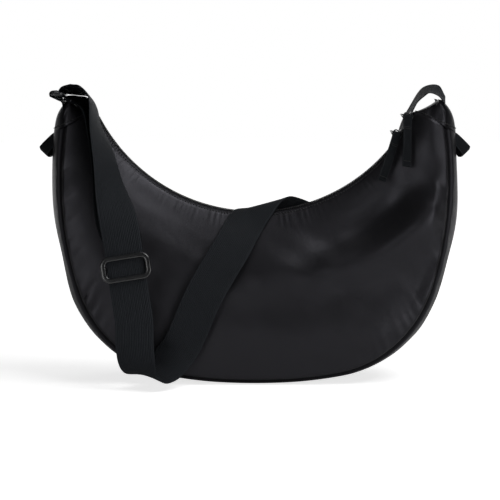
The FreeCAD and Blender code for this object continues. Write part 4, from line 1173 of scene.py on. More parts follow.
def webbing_ribs():
    """Ribs along the webbing, each crossed by short slanted picks that step from rib to rib."""
    found = bpy.data.node_groups.get("webbing_ribs")
    if found:
        return found
    group, given, result = shader_group(
        "webbing_ribs",
        (("Flat", "vector", None), ("Rib", "value", 0.0017), ("Pick", "value", 0.0012)),
        (("Height", "value"), ("Shade", "value")),
    )
    along, across, _ = parts_of(group, given.outputs["Flat"])
    across = calculate(group, "DIVIDE", across, given.outputs["Rib"])
    along = calculate(group, "DIVIDE", along, given.outputs["Pick"])
    side = calculate(group, "PINGPONG", calculate(group, "FLOOR", across), 1.0)
    slant = scaled(group, side, 2.0, -1.0)
    lean = calculate(group, "MULTIPLY", calculate(group, "FRACT", across), slant)
    along = scaled(group, lean, 0.9, along)
    pick = calculate(group, "SINE", calculate(group, "MULTIPLY", along, 2 * pi))
    rib = calculate(group, "POWER", threads_of(group, across), 0.6)
    height = calculate(group, "MULTIPLY", rib, scaled(group, pick, 0.18, 0.82))
    group.links.new(height, result.inputs["Height"])
    # Shade is painted shade between the ribs, with a paler top on each rib
    group.links.new(scaled(group, height, 0.55, 0.6), result.inputs["Shade"])
    return group


def rub_and_dust():
    """Slow blotches over the whole piece and a little rubbing at its rims, both from noise."""
    found = bpy.data.node_groups.get("rub_and_dust")
    if found:
        return found
    group, given, result = shader_group(
        "rub_and_dust",
        (("Place", "vector", None), ("Rim", "value", 0.0), ("Size", "value", 30.0)),
        (("Blotch", "value"), ("Rub", "value")),
    )
    place = given.outputs["Place"]
    blotch = noise(group, place, given.outputs["Size"], 3.0)
    spots = eased(group, noise(group, place, 420.0, 4.0), 0.38, 0.68, kind="LINEAR")
    group.links.new(blotch, result.inputs["Blotch"])
    group.links.new(calculate(group, "MULTIPLY", spots, given.outputs["Rim"]), result.inputs["Rub"])
    return group


class Finish:
    """A material under way: a Principled shader, its tree, and short ways to add nodes."""

    def __init__(self, name, colour, roughness, **sockets):
        self.material = bpy.data.materials.new(name)
        self.material.use_nodes = True
        self.tree = self.material.node_tree
        self.shader = self.tree.nodes["Principled BSDF"]
        self.colour = tuple(colour)
        self.shader.inputs["Base Color"].default_value = (*colour, 1)
        self.shader.inputs["Roughness"].default_value = roughness
        for label, value in sockets.items():
            label = label.replace("_", " ").title().replace("Ior", "IOR")
            self.shader.inputs[label].default_value = value
        coords = self.tree.nodes.new("ShaderNodeTexCoord")
        self.place, self.flat = coords.outputs["Object"], coords.outputs["UV"]

    def group(self, group, **inputs):
        """A node group in this material, with its inputs given by name. Returns its outputs."""
        node = self.tree.nodes.new("ShaderNodeGroup")
        node.node_tree = group
        for label, value in inputs.items():
            feed(self.tree, value, node.inputs[label.title()])
        return node.outputs

    def rim(self):
        """The mask that is 1 at the piece's rims."""
        node = self.tree.nodes.new("ShaderNodeAttribute")
        node.attribute_name = "rim"
        return node.outputs["Fac"]

    def worn(self, size):
        """Blotches and rubbing for this piece, with about size blotches in a metre."""
        return self.group(rub_and_dust(), place=self.place, rim=self.rim(), size=size)

    def shaded(self, *factors):
        """Base colour times each of the given values."""
        total = factors[0]
        for factor in factors[1:]:
            total = calculate(self.tree, "MULTIPLY", total, factor)
        scale = self.tree.nodes.new("ShaderNodeVectorMath")
        scale.operation = "SCALE"
        scale.inputs[0].default_value = self.colour
        self.tree.links.new(total, scale.inputs["Scale"])
        self.tree.links.new(scale.outputs[0], self.shader.inputs["Base Color"])

    def ranged(self, value, low, high):
        """A value from 0 to 1 as one from low to high."""
        return scaled(self.tree, value, high - low, low)

    def rough(self, value):
        """Roughness from a value."""
        self.tree.links.new(value, self.shader.inputs["Roughness"])

    def raised(self, height, distance, strength=1.0):
        """Relief of a height given from 0 to 1, in metres."""
        node = self.tree.nodes.new("ShaderNodeBump")
        node.inputs["Distance"].default_value = distance
        node.inputs["Strength"].default_value = strength
        self.tree.links.new(height, node.inputs["Height"])
        self.tree.links.new(node.outputs[0], self.shader.inputs["Normal"])


def kept_finish(name):
    """A material that an earlier piece has already made."""
    return bpy.data.materials.get(name)


def nylon_finish():
    """Tight plain weave with a soft shine, a little uneven, and painted shade in the seams: less shine at
    rims.
    """
    name = "satin_nylon"
    if kept_finish(name):
        return kept_finish(name)
    look = settings().finish
    finish = Finish(name, look.nylon, look.nylon_roughness, specular_tint=(0.90, 0.89, 1.0, 1.0))
    weave = finish.group(cloth_weave(), flat=finish.flat, threads=look.thread_count)
    worn = finish.worn(26.0)
    crease = noise(finish.tree, finish.place, 42.0, 2.0, 0.8)
    finish.shaded(weave["Shade"], finish.ranged(worn["Blotch"], 0.85, 1.15))
    rough = finish.ranged(worn["Blotch"], look.nylon_roughness - 0.06, look.nylon_roughness + 0.06)
    finish.rough(scaled(finish.tree, worn["Rub"], 0.08, rough))
    finish.raised(scaled(finish.tree, weave["Height"], 0.06, crease), 0.0011, 0.28)
    # Painted shade: less shine where the rim mask marks seams, the zip's edge and the hood's lip
    seam_shade = scaled(finish.tree, finish.rim(), -0.44, 0.5)
    finish.tree.links.new(seam_shade, finish.shader.inputs["Specular IOR Level"])
    return finish.material


def webbing_finish(name, colour, rib, pick, selvage_light_gain, shine):
    """Matt ribbed webbing; a gain above 1 paints a highlight on its selvages, below 1 paints shade there.
    """
    if kept_finish(name):
        return kept_finish(name)
    finish = Finish(name, colour, 0.62, specular_tint=(0.80, 0.87, 1.0, 1.0), specular_ior_level=shine)
    ribs = finish.group(webbing_ribs(), flat=finish.flat, rib=rib, pick=pick)
    worn = finish.worn(60.0)
    # Painted highlight or painted shade on the selvages, by the gain
    edge = finish.ranged(finish.rim(), 1.0, selvage_light_gain)
    finish.shaded(ribs["Shade"], edge, finish.ranged(worn["Blotch"], 0.9, 1.1))
    finish.rough(finish.ranged(ribs["Height"], 0.72, 0.56))
    finish.raised(ribs["Height"], 0.0005, 1.0)
    return finish.material


def plain_cloth_finish(name, colour, threads, roughness=0.75):
    """Thin matt cloth: lining, tape and thread."""
    if kept_finish(name):
        return kept_finish(name)
    finish = Finish(name, colour, roughness, sheen_weight=0.06)
    weave = finish.group(cloth_weave(), flat=finish.flat, threads=threads)
    worn = finish.worn(50.0)
    finish.shaded(weave["Shade"], finish.ranged(worn["Blotch"], 0.85, 1.15))
    finish.rough(finish.ranged(worn["Blotch"], roughness - 0.05, roughness + 0.05))
    finish.raised(weave["Height"], 0.0002, 0.8)
    return finish.material


def coated_finish(name, colour, roughness, coat, rub):
    """Black enamel or moulded plastic: fine grain, uneven gloss, and rims rubbed a little paler."""
    if kept_finish(name):
        return kept_finish(name)
    finish = Finish(name, colour, roughness, coat_weight=coat, coat_roughness=0.18)
    worn = finish.worn(140.0)
    grain = noise(finish.tree, finish.place, 1800.0, 2.0)
    paler = finish.ranged(worn["Rub"], 1.0, 1.0 + rub)
    finish.shaded(paler, finish.ranged(worn["Blotch"], 0.85, 1.15))
    rough = finish.ranged(worn["Blotch"], roughness - 0.05, roughness + 0.07)
    finish.rough(scaled(finish.tree, worn["Rub"], 0.12, rough))
    finish.raised(grain, 0.00003, 0.6)
    return finish.material


def strap_finish():
    """The strap's own webbing, with a painted highlight on its selvages."""
    look, strap = settings().finish, settings().strap
    return webbing_finish("ribbed_webbing", look.webbing, strap.rib_pitch, strap.pick_pitch, 1.6, 0.32)


def shaded_return_finish():
    """The strap's webbing painted darker, with less shine: painted shade on the layer under the strap."""
    look, strap = settings().finish, settings().strap
    return webbing_finish("inner_webbing", look.inner, strap.rib_pitch, strap.pick_pitch, 0.7, 0.12)


def narrow_finish():
    """The finer webbing of pulls and side loops, with a strong painted highlight on its selvages."""
    return webbing_finish("narrow_webbing", settings().finish.narrow, 0.0011, 0.0010, 5.0, 0.18)


def thread_finish():
    """Sewing thread."""
    return plain_cloth_finish("black_thread", settings().finish.thread, 3000.0, 0.55)


def enamel_finish():
    """Black enamel on the zip's metal."""
    return coated_finish("black_enamel", settings().finish.metal, 0.32, 0.25, 1.6)


# Operators, one for each piece or group of like pieces

FACES = (("front", True), ("back", False))  # name of a panel, and whether it is the front one
SIDES = (("left", -1), ("right", 1))  # name of a tip, and its way from the middle


class BAG_OT_panels(bpy.types.Operator):
    """Front and back crescents with their folds, gathers and topstitching"""

    bl_idname = "half_moon.panels"
    bl_label = "Panels"

    def execute(self, context):
        limit = settings().shape.zip_half_angle - 0.01
        for name, front in FACES:
            cloth = panel_layer(front)
            add_piece(f"{name}_crescent", [cloth], nylon_finish(), "bag", [f"{name}_panel"])
            turn = np.linspace(-limit, limit, 900)
            rows = np.array([-0.002, 0, 0.002]) + STITCH_DEPTH / PANEL_WIDTH
            grid = panel_surface(turn[:, None], rows[None], front)
            normal = panel_normals(grid, front)[:, 1]
            line = grid[:, 1] + normal * 0.0001
            thread = stitches(*spaced(line, 0.0030, normal), TOP_STITCH)
            add_piece(f"{name}_topstitch", thread, thread_finish(), "bag")
        return {"FINISHED"}


class BAG_OT_gusset(bpy.types.Operator):
    """The strip round the outer curve, pressed flat at the base"""

    bl_idname = "half_moon.gusset"
    bl_label = "Gusset"

    def execute(self, context):
        add_piece("gusset_strip", [gusset_layer()], nylon_finish(), "bag", ["gusset"])
        return {"FINISHED"}


class BAG_OT_hoods(bpy.types.Operator):
    """The hoods sewn over both tips, with a row of stitches along each seam"""

    bl_idname = "half_moon.hoods"
    bl_label = "Tip hoods"

    def execute(self, context):
        for name, way in SIDES:
            hood = hood_layer(way)
            add_piece(f"{name}_hood", [hood], nylon_finish(), "bag", [f"{name}_tip_cap"])
            round_it = np.linspace(0.04, 2.96, 300)
            along = np.array([0.10, 0.15, 0.20])
            grid = hood_surface(way, along[:, None], round_it[None]).transpose(1, 0, 2)
            row, normal = grid[:, 1], normals_of(grid)[:, 1]
            out = np.sign(np.sum(normal * (row - row.mean(axis=0)), axis=1, keepdims=True))
            line = row + normal * out * 0.0003
            thread = stitches(*spaced(line, 0.0032, normal * out), HOOD_STITCH)
            add_piece(f"{name}_hood_stitch", thread, thread_finish(), "bag")
        return {"FINISHED"}


class BAG_OT_linings(bpy.types.Operator):
    """The loose inner bag, a little inside the shell"""

    bl_idname = "half_moon.linings"
    bl_label = "Linings"

    def execute(self, context):
        s = settings().shape
        cloth = plain_cloth_finish("thin_lining", settings().finish.lining, 1500.0)
        turn = np.linspace(-s.zip_half_angle + 0.015, s.zip_half_angle - 0.015, 120)
        for name, front in FACES:
            outer = panel_surface(turn[:, None], np.linspace(0.09, 0.985, 40)[None], front)
            normal = panel_normals(outer, front)
            inner = outer - normal * (LINING_GAP + LINING_CLOTH)
            layer = slab(outer - normal * LINING_GAP, inner, flat_map(outer))
            add_piece(f"{name}_inner_cloth", [layer], cloth, "bag", [f"{name}_lining"])
        outer = gusset_surface(turn[:, None], np.linspace(-0.93, 0.93, 30)[None])
        inward = towards_axis(outer)
        inner = outer + inward * (GUSSET_GAP + LINING_CLOTH)
        layer = slab(outer + inward * GUSSET_GAP, inner, flat_map(outer))
        add_piece("gusset_inner_cloth", [layer], cloth, "bag", ["gusset_lining"])
        return {"FINISHED"}


TAPE_ACROSS = np.array([0.0012, 0.0024, 0.0040, 0.0050, 0.0060, 0.0074, 0.0092])  # from the middle
TAPE_DROP = np.array([0.00055, 0.00055, 0.0006, 0.0008, 0.0019, 0.0046, 0.0082])  # below the zip's arc
COIL_TURN = 12  # points in one turn of the coil


def tape_layer(side):
    """One tape of the zip: flat beside the coil, then turned down inside the panel's edge."""
    s = settings().shape
    turn = np.linspace(-s.zip_half_angle + 0.003, s.zip_half_angle - 0.003, 160)[:, None]
    outer = about_axis(s.zip_radius + TAPE_DROP, side * TAPE_ACROSS, turn)
    inner = about_axis(s.zip_radius + TAPE_DROP + 0.0007, side * (TAPE_ACROSS - 0.0002), turn)
    return slab(outer, inner, flat_map(outer))


def coil_wire(side):
    """One coil of the zip: a flattened helix along the arc, half a turn apart from the other one.

    From the left slider on to the right end the coil stands off the middle, so that the two are parted.
    """
    s, z = settings().shape, settings().zip
    limit = s.zip_half_angle - radians(1.8)
    turns = int(2 * limit * s.zip_radius / z.coil_pitch)
    u = np.linspace(0, 1, turns * COIL_TURN + 1)
    phase = 2 * pi * turns * u + (0 if side < 0 else pi)
    at = -limit + 2 * limit * u
    open_to = z.left_angle - z.slider_length / 2 / s.zip_radius
    parted = smoothstep(open_to, open_to + 0.03, at) * 0.0011
    radius = s.zip_radius - 0.0006 - 0.00085 * np.sin(phase)
    path = about_axis(radius, side * (0.00115 + parted + 0.00150 * np.cos(phase)), at)
    return tube(path, z.coil_wire, 5, False, (0, 1, 0.2))


def stop_bar(way):
    """A bar across one end of the zip."""
    bar = plate(bar_profile(0.0024, 0.0070, 0.0007), edged(-0.0006, 0.0018, 0.0003))
    turn = way * (settings().shape.zip_half_angle - radians(0.8))
    return moved(bar, lambda p: on_zip(turn, p))


class BAG_OT_zip(bpy.types.Operator):
    """Tapes, meshed coils and the stops at both ends"""

    bl_idname = "half_moon.zip"
    bl_label = "Zip"

    def execute(self, context):
        look = settings().finish
        tape = plain_cloth_finish("zip_tape_cloth", look.tape, 1700.0)
        coil = coated_finish("coil_nylon", look.coil, 0.42, 0.0, 0.6)
        for name, side in (("front", -1), ("back", 1)):
            add_piece(f"{name}_tape", [tape_layer(side)], tape, "bag", [f"{name}_zip_tape"])
            add_piece(f"{name}_coil", [coil_wire(side)], coil, "bag", [f"{name}_zip_coil"])
        for name, way in SIDES:
            bar = stop_bar(way)
            add_piece(f"{name}_stop_bar", [bar], enamel_finish(), "bag", [f"{name}_zip_stop"])
        return {"FINISHED"}


SLIDER_TOP, SLIDER_FOOT = 0.0020, -0.0016  # heights of the two plates' inner faces above the zip's arc
BRIDGE_REACH = 0.0034  # half length of the bridge
BRIDGE_DEPTH = 0.0017  # its size from front to back
RING_ROOM = 0.0016  # room in a pull ring at either side of its pull


def slider_outline(way):
    """A slider's shield from above: a rounded square with a waist at its narrow end."""
    z = settings().zip
    half_length, half_width = z.slider_length / 2, z.slider_width / 2
    t = np.linspace(0, 2 * pi, 40, endpoint=False)
    c, d = np.cos(t), np.sin(t)
    x = half_length * np.sign(c) * np.abs(c) ** 0.62
    waist = 0.80 + 0.20 * smoothstep(-0.2, 0.9, x * way / half_length)
    return np.column_stack([x, half_width * waist * np.sign(d) * np.abs(d) ** 0.55])


def slider_bridge():
    """The arched bridge on a slider's upper plate."""
    z = settings().zip
    roof_of_plate = SLIDER_TOP + z.plate
    low, high = roof_of_plate - 0.0002, roof_of_plate + z.bridge_height - z.bridge_thickness / 2
    reach, sharp, bend = BRIDGE_REACH, 0.00002, 0.0022
    corners = [(-reach, 0, low), (-reach, 0, high), (reach, 0, high), (reach, 0, low), (0, 0, low - 0.001)]
    arch = rounded_loop(corners, [sharp, bend, bend, sharp, sharp], 9)[5:31]
    profile = bar_profile(z.bridge_thickness, BRIDGE_DEPTH, 0.00045)
    return swept(arch, profile, BACKWARDS, loop=False)


def slider_surfaces(turn, way):
    """A slider: two shield plates with a wedge between them, lips along both sides, and its bridge."""
    z = settings().zip
    outline = slider_outline(way)
    top, foot, ease = SLIDER_TOP, SLIDER_FOOT, 0.00035
    wedge = bar_profile(0.0050, 0.0018, 0.0008)
    wedge[:, 0] += way * -0.003
    pieces = [
        plate(outline, edged(top, top + z.plate, ease)),
        plate(outline, edged(foot - z.plate, foot, ease)),
        plate(wedge, ((foot - 0.0001, 0), (top + 0.0001, 0))),
    ]
    for side in (-1, 1):
        lip = bar_profile(z.slider_length * 0.86, 0.0011, 0.0004)
        lip[:, 1] += side * (z.slider_width / 2 * 0.80 - 0.0003)
        pieces.append(plate(lip, ((0.0002, 0.0002), (0.0005, 0), (top + 0.0001, 0))))
    pieces.append(slider_bridge())
    return [moved(piece, lambda p: on_zip(turn, p)) for piece in pieces]


class BAG_OT_sliders(bpy.types.Operator):
    """Both sliders, parked together at the right end"""

    bl_idname = "half_moon.sliders"
    bl_label = "Sliders"

    def execute(self, context):
        z = settings().zip
        for name, turn, way in (("left", z.left_angle, -1), ("right", z.right_angle, 1)):
            pieces = slider_surfaces(turn, way)
            body = f"{name}_slider"
            add_piece(f"{name}_slider_body", pieces, enamel_finish(), body, [body])
        return {"FINISHED"}


def ring_frame():
    """Out and up directions of a pull ring, the middle of its far bar and that of the bridge."""
    z = settings().zip
    upright = cos(z.ring_lean)
    out = np.array([0, -cos(z.ring_tilt), -sin(z.ring_tilt)])
    up = np.array([-sin(z.ring_lean), -upright * sin(z.ring_tilt), upright * cos(z.ring_tilt)])
    middle = np.array([0, 0, SLIDER_TOP + z.plate + z.bridge_height - z.bridge_thickness / 2])
    return out, up, middle + out * z.ring_reach + up * z.ring_shift, middle


class BAG_OT_pull_rings(bpy.types.Operator):
    """Wire links round the bridges, tipped over to the front"""

    bl_idname = "half_moon.pull_rings"
    bl_label = "Pull rings"

    def execute(self, context):
        z = settings().zip
        out, up, eye, middle = ring_frame()
        half = z.pull_width / 2 + RING_ROOM
        back = middle - out * (BRIDGE_DEPTH / 2 + z.ring_wire + 0.0003)
        corners = [back + up * 0.0027, back - up * 0.0019, eye - up * half, eye + up * half]
        path = rounded_loop(corners, [0.0015, 0.0015, 0.0013, 0.0013], 9)
        for name, turn in (("left", z.left_angle), ("right", z.right_angle)):
            wire = tube(path, z.ring_wire, 12, True, (1, 0, 0))
            wire = moved(wire, lambda p, turn=turn: on_zip(turn, p))
            body = f"{name}_pull_ring"
            add_piece(f"{name}_wire_link", [wire], enamel_finish(), body, [body])
        return {"FINISHED"}


# From the far bar of each ring to the end of its pull
PULL_HANG = {"left": np.array([-0.016, -0.0105, -0.0460]), "right": np.array([-0.0022, -0.0145, -0.0488])}
PULL_ROWS = (0.0100, 0.0118, 0.0455)  # distances of the stitch rows below the ring
PULL_STITCHES = 8  # stitches in a row


def pull_route(name, turn):
    """A pull's route: up one layer, round the straight bar of its ring and down the other layer."""
    z = settings().zip
    _, up, eye, _ = ring_frame()
    bar = unit(on_zip(turn, -up) - on_zip(turn, up * 0))
    eye = on_zip(turn, eye)
    end = eye + PULL_HANG[name]
    run = unit(PULL_HANG[name])
    through = unit(np.cross(run, bar))
    across = np.cross(through, run)
    wrap = z.ring_wire + z.pull_thickness / 2 + 0.0005
    apart = through * z.pull_thickness * 0.56
    angles = np.radians([-40, 0, 30, 60, 90, 120, 150, 180, 220])[:, None]
    turned = eye + through * np.cos(angles) * wrap - run * np.sin(angles) * (wrap + 0.0009)
    tail = np.array([end, eye + (end - eye) * 0.6, eye + run * 0.020, eye + run * 0.009])
    bend = through * np.array([[0.0], [0.0007], [0.0003], [0.0]])
    places = np.concatenate([tail + apart + bend, turned, (tail - apart + bend)[::-1]])
    return (places, np.broadcast_to(across, places.shape)), eye, run, across, through


def pull_stitches(eye, run, across, through):
    """Rows of stitches on both faces of a pull, raised with its slight bend."""
    z = settings().zip
    shape = (PULL_STITCHES, 3)
    t = np.linspace(-0.42, 0.42, PULL_STITCHES)[:, None]
    rows = []
    for reach in PULL_ROWS:
        bend = smoothstep(0.01, 0.03, reach) * smoothstep(0.055, 0.04, reach)
        for face in (-1, 1):
            places = eye + run * reach + across * t * z.pull_width
            places = places + through * face * (z.pull_thickness * 1.06) + through * 0.0006 * bend
            runs, outs = np.broadcast_to(across, shape), np.broadcast_to(through * face, shape)
            rows += stitches(places, runs, outs, PULL_STITCH)
    return rows


class BAG_OT_pulls(bpy.types.Operator):
    """Folded webbing pulls with a bar of stitches below the ring"""

    bl_idname = "half_moon.pulls"
    bl_label = "Pulls"

    def execute(self, context):
        z = settings().zip
        for name, turn in (("left", z.left_angle), ("right", z.right_angle)):
            route, eye, run, across, through = pull_route(name, turn)
            strip = band(route, z.pull_width, z.pull_thickness, steps=4, columns=11)
            body = f"{name}_pull"
            nodes = [f"{name}_pull_strip"]
            add_piece(f"{name}_folded_pull", [strip], narrow_finish(), body, nodes)
            rows = pull_stitches(eye, run, across, through)
            add_piece(f"{name}_pull_stitch", rows, thread_finish(), body)
        return {"FINISHED"}


class BAG_OT_strap(bpy.types.Operator):
    """The webbing strap from the right tip, over the zip, round its loose fold and up to the ring"""

    bl_idname = "half_moon.strap"
    bl_label = "Strap"

    def execute(self, context):
        strap = settings().strap
        parts = strap_parts()
        first = STEPS * (len(parts[0][0]) - 1)
        last = first + STEPS * (len(parts[1][0]) + 1)

        def laid(sheet, normals, across):
            return over_zip(sheet, normals, across, first, last)

        main = band(joined_route(*parts), strap.width, strap.thickness, cup=0.00025, laid=laid)
        nodes = ["strap_back_run", "strap_crossing", "strap_left_leg", "strap_ring_turn"]
        bend = ("bag", "ring", (-0.166, 0, 0.293), (-0.190, 0, 0.293))
        add_piece("strap_webbing", [main], strap_finish(), "bag", nodes, bend)
        places, across = cubic_route(under_route(), STEPS)
        split = STEPS * 4
        upper = band((places[: split + 1], across[: split + 1]), strap.width, strap.thickness, steps=0)
        lower = band((places[split:], across[split:]), strap.width, strap.thickness, steps=0)
        bend = ("bag", "ring", (-0.166, 0, 0.290), (-0.190, 0, 0.290))
        # The under layer gets the darker webbing: painted shade
        inner, nodes = shaded_return_finish(), ["strap_under_layer"]
        add_piece("strap_return_upper", [upper], inner, "bag", nodes, bend)
        bend = ("bag", "adjuster", tuple(places[split]), tuple(places[-1 - STEPS]))
        add_piece("strap_return_lower", [lower], inner, "bag", (), bend)
        return {"FINISHED"}


FRAME_CORNER = 0.0068  # radius of the adjuster's corners
CHEEK = (0.0036, 0.58)  # width of a cheek, and its height as a share of the adjuster's
MIDDLE_BAR = (0.007, 0.0024)  # width and thickness of the adjuster's middle bar
END_LOOP_CLOTH = 0.0012  # thickness of the webbing sewn round it


class BAG_OT_adjuster(bpy.types.Operator):
    """The three bar slide: a rounded frame over the webbing, two cheeks and a sunk middle bar"""

    bl_idname = "half_moon.adjuster"
    bl_label = "Adjuster"

    def execute(self, context):
        strap = settings().strap
        across, run, outward, spot = adjuster_axes()

        def place(p):
            return spot + p[..., :1] * across + p[..., 1:2] * run + p[..., 2:] * outward

        above = strap.thickness / 2 + strap.clearance
        below = strap.thickness * 1.5 + 3 * strap.clearance + MIDDLE_BAR[1]
        w = (strap.adjuster_length - strap.adjuster_bar) / 2
        h = (strap.adjuster_height - strap.adjuster_bar) / 2
        level = above + strap.adjuster_thickness / 2
        corners = [(-w, -h, level), (w, -h, level), (w, h, level), (-w, h, level)]
        profile = bar_profile(strap.adjuster_bar, strap.adjuster_thickness, 0.00155, 6)
        pieces = [swept(rounded_loop(corners, [FRAME_CORNER] * 4, 12), profile, (0, 0, 1))]
        for side in (-1, 1):
            cheek = bar_profile(CHEEK[0], strap.adjuster_height * CHEEK[1], 0.0015, 5)
            cheek[:, 0] += side * (strap.adjuster_length / 2 - 0.0024)
            pieces.append(plate(cheek, edged(-below, above + 0.0012, 0.0004)))
        bar = bar_profile(strap.adjuster_length - 0.0022, MIDDLE_BAR[0], 0.0012, 5)
        pieces.append(plate(bar, edged(-below, -below + MIDDLE_BAR[1], 0.0005)))
        plastic = coated_finish("moulded_plastic", settings().finish.plastic, 0.20, 1.0, 1.2)
        pieces = [moved(piece, place) for piece in pieces]
        add_piece("adjuster_slide", pieces, plastic, "adjuster", ["strap_adjuster"])
        half_cloth = END_LOOP_CLOTH / 2
        high = -strap.thickness / 2 - strap.clearance * 0.8 - half_cloth
        low = -below - strap.clearance * 0.6 - half_cloth
        half = MIDDLE_BAR[0] / 2 + strap.clearance + half_cloth
        corners = np.array([(0, -half, low), (0, half, low), (0, half, high), (0, -half, high)])
        path = rounded_loop(corners, [0.0012] * 4, 7)
        path = np.concatenate([path, path[:1]])
        wide = np.broadcast_to(across, path.shape)
        loop = band((place(path), wide), strap.width, END_LOOP_CLOTH, steps=0, loop=True)
        add_piece("strap_end_wrap", [loop], strap_finish(), "adjuster", ["strap_end_loop"])
        return {"FINISHED"}


RING_CORNER = 0.0024  # radius of the strap ring's corners
TAB_CLOTH = 0.0012  # thickness of the tab that holds the ring
TAB_START = ((-0.1944, 0, 0.275), (-0.1947, 0, 0.284))  # where the tab comes out of the hood
TAB_END = ((-0.1969, 0, 0.2862),)  # where it goes in again


class BAG_OT_ring(bpy.types.Operator):
    """The rectangular ring at the left tip and the tab that holds it"""

    bl_idname = "half_moon.ring"
    bl_label = "Strap ring"

    def execute(self, context):
        strap = settings().strap
        w, h = (strap.ring_gap + strap.ring_wire) / 2, (strap.ring_window + strap.ring_wire) / 2
        middle = RING_BAR - np.array([w, 0, 0])
        corners = [middle + np.array(c) for c in ((-w, -h, 0), (w, -h, 0), (w, h, 0), (-w, h, 0))]
        profile = bar_profile(strap.ring_wire, strap.ring_wire, 0.0014, 5)
        rod = swept(rounded_loop(corners, [RING_CORNER] * 4, 8), profile, (0, 0, 1))
        steel = coated_finish("coated_ring", settings().finish.metal, 0.26, 0.35, 1.4)
        add_piece("ring_rod", [rod], steel, "ring", ["strap_ring"])
        bar = middle - np.array([w, 0, 0])
        wrap = strap.ring_wire / 2 + TAB_CLOTH / 2 + 0.00085
        turned = bar + upright_circle(-25, 5, 35, 65, 90, 120, 150, 180, 210, 235) * wrap
        places = np.concatenate([TAB_START, turned, TAB_END])
        wide = np.broadcast_to(BACKWARDS, places.shape)
        tab = band((places, wide), strap.width, TAB_CLOTH, steps=4)
        add_piece("ring_tab_webbing", [tab], strap_finish(), "bag", ["ring_tab"])
        return {"FINISHED"}


LOOP_RUN = (0.015, -0.019)  # reach of a side loop outward and in height
LOOP_HEIGHT = 0.252  # height of its root


def side_loop_frame(way):
    """Root of a side loop, its reach outward and down, and the direction square to it."""
    reach = np.array([way * LOOP_RUN[0], 0, LOOP_RUN[1]])
    run = unit(reach)
    turn = np.linspace(0.9, 1.25, 400)
    line = about_axis(outline_radius(turn), 0 * turn, turn)
    aside = np.interp(LOOP_HEIGHT, line[:, 2], line[:, 0]) - 0.0050
    root = np.array([way * aside, 0, LOOP_HEIGHT])
    return root, reach, np.array([-run[2] * way, 0, run[0] * way])


class BAG_OT_side_loops(bpy.types.Operator):
    """Small folded loops that stand out from the gusset below the tips"""

    bl_idname = "half_moon.side_loops"
    bl_label = "Side loops"

    def execute(self, context):
        strap = settings().strap
        thick = strap.loop_thickness
        for name, way in SIDES:
            root, reach, aside = side_loop_frame(way)
            run = unit(reach)
            radius = (strap.loop_gap + thick) / 2
            eye = root + reach - run * radius
            angles = np.radians([90, 45, 0, -45, -90])
            round_eye = eye + run * (np.cos(angles) * radius)[:, None]
            neck = root + run * 0.006
            spots = np.concatenate([[root, neck], round_eye, [neck, root]])
            rise = np.concatenate([[thick * 0.6, radius * 0.55], np.sin(angles) * radius])
            rise = np.concatenate([rise, [-radius * 0.55, -thick * 0.6]])[:, None]
            twist = strap.loop_twist * np.array([0.6, 0.8, 1, 1, 1, 1, 1, 0.8, 0.6])[:, None]
            y = np.array(BACKWARDS)
            places = spots + (aside * np.cos(twist) - y * np.sin(twist)) * rise
            wide = aside * np.sin(twist) + y * np.cos(twist)
            strip = band((places, wide), strap.loop_width, thick, 5)
            nodes = [f"{name}_side_loop"]
            add_piece(f"{name}_folded_loop", [strip], narrow_finish(), "bag", nodes)
        return {"FINISHED"}


CAMERA_TARGET = Vector((-0.005, 0, 0.133))
LAMP_TARGET = Vector((0, 0, 0.12))
LAMPS = (
    ("key", (0.85, -0.6, 1.55), 1.0),
    ("right", (1.3, -1.5, 0.25), 1.0),
    ("left", (-1.1, -1.7, 0.25), 1.0),
    ("top", (0.5, 0.45, 1.7), 1.4),
)  # name, place and side of each square lamp
SENSOR_WIDTH = 36  # millimetres
FLOOR_HALF = 6.0  # half of the floor's side
FLOOR_FADE = (0.35, 1.3)  # distances from the bag between which the floor goes over into white
FLOOR_GLOW = (0.74, 1.0)  # its own light at those distances
BACKDROP = (0.75, 1.0)  # distances behind the bag between which the white backdrop sets in
LOW_LIGHT = 0.06  # strength of the even light all round


